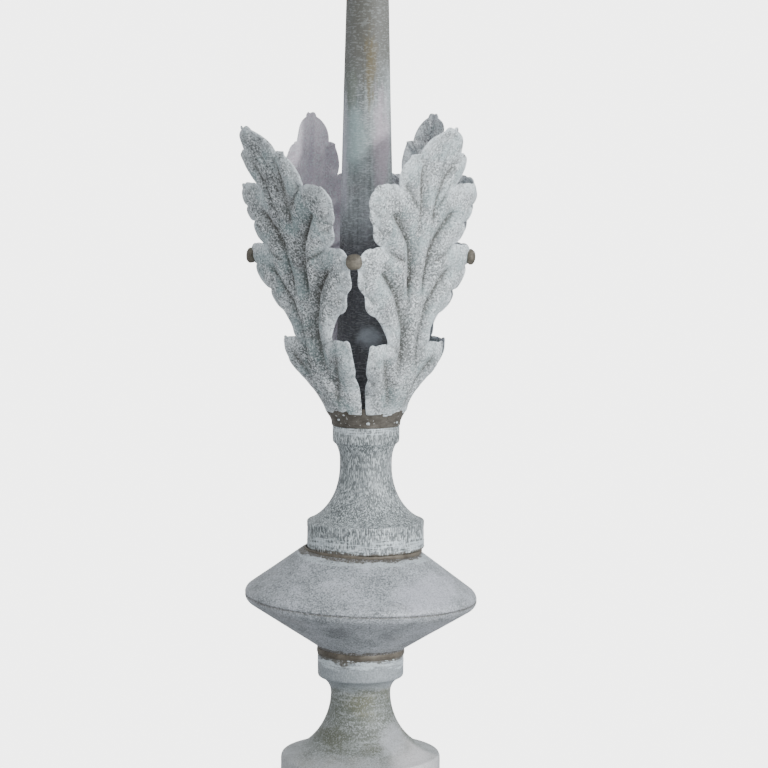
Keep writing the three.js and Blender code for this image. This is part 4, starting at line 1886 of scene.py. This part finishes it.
    def rim(
        self, middle: np.ndarray, normal: np.ndarray, triangles: Sequence[tuple[int, int, int]]
    ) -> tuple[list[int], np.ndarray, list[tuple[int, ...]]]:
        """Rounded edge of the sheet: one more row of points between its two faces.

        Args:
            middle: Points of the sheet's middle.
            normal: Direction in which it faces at each.
            triangles: Triangles that fill it.

        Returns:
            Numbers of the points on the margin, the row beyond them, and its faces.
        """
        edges = {(face[i], face[(i + 1) % 3]) for face in triangles for i in range(3)}
        border = sorted(edge for edge in edges if edge[::-1] not in edges)
        outward = np.zeros_like(middle)
        for a, b in border:
            away = np.cross(middle[b] - middle[a], normal[a])
            outward[a] += away
            outward[b] += away
        margin = sorted({a for a, _ in border})
        number = {vertex: index for index, vertex in enumerate(margin)}
        away = outward[margin]
        away /= np.linalg.norm(away, axis=1)[:, None]
        rim = middle[margin] + away * (self.rim_reach * SHEET)
        count = len(middle)
        faces = []
        for a, b in border:
            rim_a, rim_b = 2 * count + number[a], 2 * count + number[b]
            faces.append((b, a, rim_a, rim_b))
            faces.append((rim_b, rim_a, a + count, b + count))
        return margin, rim, faces

    def build(self, finish: Material) -> None:
        """Press the four leaves."""
        self.pattern.meeting = self.meeting()
        flat, triangles, margin_at = self.pattern.mesh()
        height, crease = self.pattern.relief(flat, margin_at)
        log.info("leaf pattern: %d points, meeting at %.1f mm", len(flat), self.pattern.meeting)
        for pose in self.poses:
            self.leaf(pose, (flat, triangles, margin_at, height, crease), finish)


@dataclass
class Button:
    """Drop of solder where two leaves meet."""

    side: str
    seed: float = 1.0
    lump: float = 0.07
    lump_scale: float = 1.6
    grain: float = 0.03
    grain_scale: float = 4.5
    squareness: float = 0.86

    def build(self, finish: Material) -> Object:
        """Round, slightly flattened and lumpy drop in its node's place."""
        node = f"solder_button_{self.side}"
        low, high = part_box(node)
        centre = (low + high) / 2
        size = (high - low) / 2
        work = bmesh.new()
        bmesh.ops.create_icosphere(work, subdivisions=5, radius=1.0)
        for vertex in work.verts:
            point = vertex.co
            lump = 1 + self.lump * noise.noise(point * self.lump_scale + Vector((self.seed, 0, 0)))
            lump += self.grain * noise.noise(point * self.grain_scale + Vector((0, self.seed, 0)))
            square = Vector([math.copysign(abs(one) ** self.squareness, one) for one in point])
            vertex.co = Vector([lump * a * b for a, b in zip(square, size)]) + centre
        mesh = bpy.data.meshes.new(node)
        work.to_mesh(mesh)
        work.free()
        return settle(f"{node}_drop", shaded(mesh, 80), finish, [node])


# Studio


@dataclass(frozen=True)
class Lamp:
    """Square soft light that faces the leaves, with its place in degrees and metres."""

    name: str
    azimuth: float
    rise: float
    distance: float
    size: float
    watts: float

    def build(self) -> None:
        """Hang the light."""
        data = bpy.data.lights.new(self.name, "AREA")
        data.shape = "SQUARE"
        data.size = self.size
        data.energy = self.watts
        lamp = bpy.data.objects.new(self.name, data)
        aim = Vector((0.0, 0.0, 0.5))
        turn, climb = math.radians(self.azimuth), math.radians(self.rise)
        flat = self.distance * math.cos(climb)
        place = aim + Vector(
            (flat * math.sin(turn), -flat * math.cos(turn), self.distance * math.sin(climb)))
        lamp.location = place
        lamp.rotation_euler = (aim - place).to_track_quat("-Z", "Y").to_euler()
        bpy.context.scene.collection.objects.link(lamp)


@dataclass
class Studio:
    """Pale floor, soft light and the camera at the photograph's angle."""

    distance: float = 2.54
    azimuth: float = 3.3
    camera_height: float = 0.6755
    pitch: float = 5.91
    focal: float = 2568.0
    frame_pixels: float = 768.0
    left_of_centre: float = 22.5
    roll: float = 0.25
    sensor: float = 36.0
    backdrop: Colour = srgb(255, 255, 254)
    glow_strength: float = 4.5
    room: Colour = srgb(236, 238, 240)
    room_strength: float = 1.0
    floor_radius: float = 4.0
    floor_colour: Colour = srgb(184, 184, 186)
    floor_real_to: float = 0.088
    floor_white_from: float = 0.13
    lamps: tuple[Lamp, ...] = (
        Lamp("key", azimuth=42.0, rise=8.0, distance=2.4, size=0.22, watts=50.0),
        Lamp("side", azimuth=84.0, rise=16.0, distance=3.0, size=1.6, watts=17.0),
        Lamp("fill", azimuth=-55.0, rise=30.0, distance=3.0, size=2.2, watts=4.0),
    )

    def camera(self) -> None:
        """Camera that looks at the finial's axis, a little right of it."""
        data = bpy.data.cameras.new("camera")
        data.sensor_width = self.sensor
        data.lens = self.focal / self.frame_pixels * self.sensor
        camera = bpy.data.objects.new("camera", data)
        turn = math.radians(self.azimuth)
        place = Matrix.Translation(
            (self.distance * math.sin(turn), -self.distance * math.cos(turn), self.camera_height))
        heading = turn - math.atan(self.left_of_centre / self.focal)
        camera.matrix_world = (
            place
            @ Matrix.Rotation(heading, 4, "Z")
            @ Matrix.Rotation(math.radians(90 - self.pitch), 4, "X")
            @ Matrix.Rotation(math.radians(self.roll), 4, "Z")
        )
        bpy.context.scene.collection.objects.link(camera)
        bpy.context.scene.camera = camera

    def world(self) -> None:
        """Even room: it lights the finial softly and shows as a white backdrop."""
        world = bpy.data.worlds.new("room")
        world.use_nodes = True
        graph = Graph(world.node_tree)
        room = graph.node(
            "ShaderNodeBackground", None, {"Color": self.room, "Strength": self.room_strength})
        white = graph.node(
            "ShaderNodeBackground", None, {"Color": self.backdrop, "Strength": self.glow_strength})
        seen = graph.node("ShaderNodeLightPath", None, None, "Is Camera Ray")
        shader = graph.node("ShaderNodeMixShader", None, {0: seen, 1: room, 2: white})
        graph.node("ShaderNodeOutputWorld", None, {"Surface": shader})
        bpy.context.scene.world = world

    def floor(self) -> None:
        """Round floor: real under the foot, and part of the white backdrop further out."""
        work = bmesh.new()
        bmesh.ops.create_circle(work, cap_ends=True, segments=96, radius=self.floor_radius)
        mesh = bpy.data.meshes.new("floor")
        work.to_mesh(mesh)
        work.free()
        floor = bpy.data.objects.new("floor", mesh)
        bpy.context.scene.collection.objects.link(floor)
        material, graph, at = start_material("pale_floor")
        away = graph.node("ShaderNodeVectorMath", {"operation": "LENGTH"}, {0: at}, "Value")
        matt = graph.principled(Base_Color=self.floor_colour, Roughness=0.9)
        white = graph.node(
            "ShaderNodeEmission", None, {"Color": self.backdrop, "Strength": self.glow_strength})
        seen = graph.node("ShaderNodeLightPath", None, None, "Is Camera Ray")
        share = seen * away.rise(self.floor_real_to, self.floor_white_from)
        shader = graph.node("ShaderNodeMixShader", None, {0: share, 1: matt, 2: white})
        graph.node("ShaderNodeOutputMaterial", None, {"Surface": shader})
        mesh.materials.append(material)

    def build(self) -> None:
        """Set up the whole studio."""
        self.world()
        self.floor()
        for lamp in self.lamps:
            lamp.build()
        self.camera()


PASTE = srgb(206, 217, 222)
BROWN = srgb(90, 86, 78)
SHADE = srgb(128, 132, 138)


def foot_finish(joints: Joints) -> Zinc:
    """Grey zinc with olive staining, a pale drum, painted light on the right of the flare and the
    drum, and paste and solder at the collar.
    """
    top = joints.foot_top
    return Zinc(
        name="zinc_foot_oxide",
        dark=srgb(98, 102, 96),
        middle=srgb(136, 141, 138),
        pale=srgb(174, 180, 181),
        grain=0.7,
        grain_size=(2.0, 2.0, 1.6),
        speck=0.5,
        speck_size=(1.5, 1.5, 1.9),
        salt=srgb(188, 194, 196),
        blotch_size=(50.0, 50.0, 13.0),
        tint=srgb(132, 130, 104),
        tint_share=0.6,
        seed=1.0,
        roughness=0.6,
        stains_and_painted_light=(
            Band(
                top - 34.0, top + 9.0, srgb(166, 175, 183), 0.65,
                wave=5.0, ragged=3.0, edge=3.0, seed=29.0),
            Band(
                top - 10.5, top - 1.5, PASTE, 0.95,
                wave=4.0, ragged=3.6, edge=0.6, streak=0.07, seed=2.0),
            Band(top - 2.4, top + 9.0, BROWN, 0.9, wave=4.5, ragged=3.6, edge=0.5, seed=4.0),
            Patch(-15.0, top - 4.0, 9.0, 5.0, BROWN, 0.95, ragged=0.8, seed=30.0),
            Band(-9.0, 44.0, srgb(198, 201, 205), 0.7, wave=8.0, ragged=4.0, edge=12.0, seed=5.0),
            Band(
                76.0, 108.0, srgb(92, 97, 84), 0.66,
                wave=8.0, ragged=7.0, edge=5.0, streak=0.16, seed=33.0),
            Band(
                50.0, 70.0, srgb(104, 108, 98), 0.5,
                wave=8.0, ragged=7.0, edge=5.0, streak=0.16, seed=34.0),
            Patch(2.0, 96.0, 20.0, 14.0, srgb(112, 112, 84), 0.45, ragged=0.9, seed=18.0),
            # Painted light: pale patches on the right of the flare and the drum, where the key
            # light falls.
            Patch(34.0, 60.0, 18.0, 16.0, srgb(204, 206, 213), 0.55, ragged=0.4, seed=35.0),
            Patch(56.0, 24.0, 36.0, 44.0, srgb(232, 230, 232), 0.8, ragged=0.3, seed=36.0),
            Patch(-27.0, 62.0, 24.0, 14.0, srgb(90, 93, 78), 0.75, ragged=0.8, seed=23.0),
            Patch(14.0, 54.0, 15.0, 6.0, srgb(98, 99, 84), 0.5, ragged=0.9, seed=24.0),
        ),
    )


def knop_finish(joints: Joints) -> Zinc:
    """Even grey zinc, dark in the seam, with solder below and above, faint painted shade on the
    lower cone and painted light on the right of the upper cone.
    """
    bottom = joints.knop_bottom
    top = joints.knop_top
    rim = bottom + KnopCone.lower_height
    return Zinc(
        name="zinc_knop_oxide",
        dark=srgb(108, 113, 115),
        middle=srgb(160, 166, 171),
        pale=srgb(200, 205, 214),
        grain=0.7,
        grain_size=(1.8, 1.8, 1.8),
        speck=0.62,
        speck_size=(1.5, 1.5, 1.5),
        blotch=0.8,
        salt=srgb(202, 207, 214),
        blotch_size=(30.0, 30.0, 22.0),
        tint=srgb(130, 124, 112),
        tint_share=0.3,
        seed=2.0,
        roughness=0.6,
        tilt=joints.knop_tilt,
        stains_and_painted_light=(
            Band(bottom - 9.0, rim - 1.0, SHADE, 0.15, ragged=3.0, edge=9.0, seed=19.0),
            Patch(-15.0, 178.0, 19.0, 12.0, srgb(88, 91, 95), 0.6, ragged=0.8, seed=20.0),
            Patch(30.0, 172.0, 12.0, 9.0, srgb(96, 99, 102), 0.5, ragged=0.8, seed=21.0),
            # Painted light on the right of the upper cone, where the key light falls.
            Patch(66.0, 216.0, 40.0, 20.0, srgb(206, 208, 220), 0.6, ragged=0.4, seed=37.0),
            Band(
                rim - 1.3, rim + 0.5, srgb(86, 84, 78), 0.75,
                wave=0.0, ragged=0.6, edge=0.6, seed=22.0),
            Band(bottom - 9.0, bottom + 3.5, BROWN, 0.9, ragged=3.0, edge=0.5, seed=6.0),
            Band(top - 6.4, top + 9.0, PASTE, 0.55, edge=0.8, streak=0.1, seed=7.0),
            Band(top - 2.2, top + 9.0, BROWN, 0.95, wave=2.8, ragged=2.2, edge=0.5, seed=8.0),
        ),
    )


def neck_finish(joints: Joints) -> Zinc:
    """Finely streaked zinc with solder and paste on its band and on its collar, painted shadow
    under the paste on its band and painted shade down the middle of its front.
    """
    bottom = joints.neck_bottom
    top = joints.neck_top
    return Zinc(
        name="zinc_neck_oxide",
        dark=srgb(90, 95, 96),
        middle=srgb(130, 137, 139),
        pale=srgb(186, 194, 197),
        grain_size=(1.2, 1.2, 3.0),
        speck=0.66,
        speck_size=(1.3, 1.3, 4.8),
        blotch=0.9,
        salt=srgb(220, 230, 233),
        blotch_size=(20.0, 20.0, 30.0),
        streak=0.3,
        streak_size=(3.2, 3.2, 60.0),
        tint=srgb(140, 136, 142),
        tint_share=0.3,
        seed=3.0,
        roughness=0.56,
        stains_and_painted_light=(
            Band(
                bottom - 9.0, bottom + 2.0, BROWN, 0.95,
                wave=2.5, ragged=1.5, edge=0.5, seed=9.0),
            Band(
                bottom + 3.0, bottom + 13.5, PASTE, 0.95,
                wave=4.0, ragged=3.6, edge=0.6, streak=0.07, seed=10.0),
            # Painted shadow: dark streaks in the paste, standing for the shade under its raised
            # ridges.
            Band(
                bottom + 4.2, bottom + 6.0, srgb(100, 106, 106), 0.7,
                wave=6.0, ragged=3.0, edge=0.5, streak=0.5, seed=28.0),
            Band(
                top - 6.0, top + 9.0, PASTE, 0.85,
                wave=3.5, ragged=4.0, edge=0.6, streak=0.08, seed=11.0),
            # Painted shade: a darker middle on the neck's front that dulls its highlight.
            Patch(2.0, 325.0, 38.0, 42.0, srgb(104, 110, 112), 0.45, ragged=0.4, seed=32.0),
        ),
    )


def spire_finish() -> Zinc:
    """Softly streaked zinc: painted shade inside the cup with a painted pool of light in it, bluish
    and lilac above it with painted light on the left, brown further up with painted shade down the
    middle.
    """
    return Zinc(
        name="zinc_spire_oxide",
        dark=srgb(104, 109, 108),
        middle=srgb(148, 156, 157),
        pale=srgb(186, 195, 198),
        grain=0.45,
        grain_size=(1.6, 1.6, 3.2),
        blotch=0.8,
        blotch_size=(30.0, 30.0, 70.0),
        streak=0.45,
        streak_size=(3.0, 3.0, 130.0),
        tint=srgb(150, 146, 150),
        tint_share=0.4,
        speck=0.2,
        speck_size=(4.0, 4.0, 1.3),
        seed=4.0,
        roughness=0.75,
        metallic=0.1,
        bump=0.25,
        stains_and_painted_light=(
            Band(
                716.0, 1600.0, srgb(98, 97, 91), 0.84,
                wave=12.0, ragged=7.0, edge=26.0, seed=13.0),
            # Partly brown staining, partly painted shade that dulls the lit middle of the spire.
            Patch(2.0, 770.0, 15.0, 90.0, srgb(80, 79, 71), 0.6, ragged=0.3, seed=26.0),
            # Painted shade on the spire inside the cup of leaves.
            Band(300.0, 560.0, srgb(66, 63, 68), 0.7, wave=6.0, ragged=4.0, edge=22.0, seed=16.0),
            Patch(-8.0, 655.0, 18.0, 46.0, srgb(150, 172, 173), 0.7, ragged=0.5, seed=17.0),
            Patch(20.0, 650.0, 11.0, 70.0, srgb(190, 176, 188), 0.7, seed=25.0),
            Patch(9.0, 728.0, 8.0, 50.0, srgb(108, 96, 60), 0.6, ragged=0.9, seed=14.0),
            Patch(-10.0, 704.0, 9.0, 30.0, srgb(112, 120, 110), 0.6, seed=15.0),
            # Painted pool of light on the spire, where light falls through the gap between the
            # front leaves.
            Patch(9.0, 462.0, 17.0, 13.0, srgb(184, 194, 200), 0.75, ragged=0.3, seed=27.0),
            # Partly the spire's bluish-lilac tone, partly painted light that lifts its shaded left
            # side.
            Patch(-20.0, 640.0, 9.0, 80.0, srgb(200, 200, 212), 0.75, ragged=0.5, seed=31.0),
        ),
    )


def leaf_finish() -> LeafZinc:
    """Blotched and speckled zinc."""
    return LeafZinc(
        name="zinc_leaf_oxide",
        dark=srgb(90, 94, 93),
        middle=srgb(158, 164, 166),
        pale=srgb(228, 236, 240),
        grain=0.8,
        grain_size=(1.7, 1.7, 1.7),
        speck=0.84,
        blotch=0.9,
        salt=srgb(238, 244, 247),
        blotch_size=(24.0, 24.0, 24.0),
        tint=srgb(158, 148, 158),
        tint_share=0.4,
        seed=5.0,
        roughness=0.7,
        metallic=0.1,
        bump=0.9,
    )


def finishes(joints: Joints) -> dict[str, Material]:
    """Materials of the finial, by the piece that wears them."""
    worn = {
        "foot": foot_finish(joints),
        "knop": knop_finish(joints),
        "neck": neck_finish(joints),
        "spire": spire_finish(),
        "leaf": leaf_finish(),
        "solder": Solder(),
        "cup": Solder(
            name="solder_cup_brown",
            dark=srgb(66, 62, 55),
            light=srgb(116, 112, 104),
            crumbs=0.8,
            seed=41.0,
        ),
        "button": Solder(
            name="solder_button_grey",
            dark=srgb(78, 74, 66),
            light=srgb(126, 121, 109),
            seed=51.0,
        ),
        "paste": Solder(
            name="flux_paste_white",
            dark=srgb(172, 182, 187),
            light=srgb(212, 220, 224),
            roughness=0.8,
            metallic=0.0,
            seed=61.0,
        ),
    }
    return {piece: finish.material() for piece, finish in worn.items()}


def beads(joints: Joints) -> tuple[SolderBead, ...]:
    """Beads of solder under and over the knop."""
    return (
        SolderBead(
            joints,
            "solder_foot_to_knop",
            radius=43.0,
            height=joints.foot_top + 2.6,
            thickness=3.4,
            width=1.1,
            wave=1.8,
            seed=0.2,
        ),
        SolderBead(
            joints,
            "solder_knop_to_neck",
            radius=57.8,
            height=joints.knop_top + 0.6,
            thickness=2.4,
            width=1.0,
            shift=0.5 * joints.neck_shift,
            wave=0.8,
            seed=0.5,
        ),
    )


def flux(joints: Joints) -> tuple[Crumbs, ...]:
    """Crumbs of flux at the joints."""
    return (
        Crumbs(
            "flux_crumbs_on_band",
            radius=58.4,
            low=joints.neck_bottom + 1.0,
            high=joints.neck_bottom + 10.0,
            shift=joints.neck_shift,
            count=110,
            size=1.1,
            seed=2,
        ),
        Crumbs(
            "flux_crumbs_on_cup",
            radius=34.6,
            low=joints.neck_top + 4.0,
            high=joints.cup_bottom + 1.0,
            shift=joints.neck_shift,
            count=18,
            size=1.9,
            flare=5.2,
            seed=5,
        ),
        Crumbs(
            "flux_crumbs_on_collar",
            radius=43.0,
            low=joints.foot_top - 9.0,
            high=joints.foot_top,
            shift=0.0,
            count=80,
            size=1.0,
            seed=8,
        ),
    )


def main() -> None:
    """Build the finial from the foot upwards and set up the studio."""
    logging.basicConfig(level=logging.INFO, format="%(message)s")
    joints = Joints()
    finish = finishes(joints)
    Foot(joints).build(finish["foot"])
    LowerCone(joints).build(finish["knop"])
    UpperCone(joints).build(finish["knop"])
    Neck(joints).build(finish["neck"])
    Spire(joints).build(finish["spire"])
    bead_tree = SolderBead.tree()
    for bead in beads(joints):
        bead.build(finish["solder"], bead_tree)
    SolderCup(joints).build(finish["cup"])
    LeafCup(joints).build(finish["leaf"])
    for index, side in enumerate(("front", "right", "back", "left")):
        Button(side, seed=3.0 + index).build(finish["button"])
    crumb_tree = Crumbs.tree()
    for crumbs in flux(joints):
        crumbs.build(finish["paste"], crumb_tree)
    Studio().build()


if __name__ == "__main__":
    main()
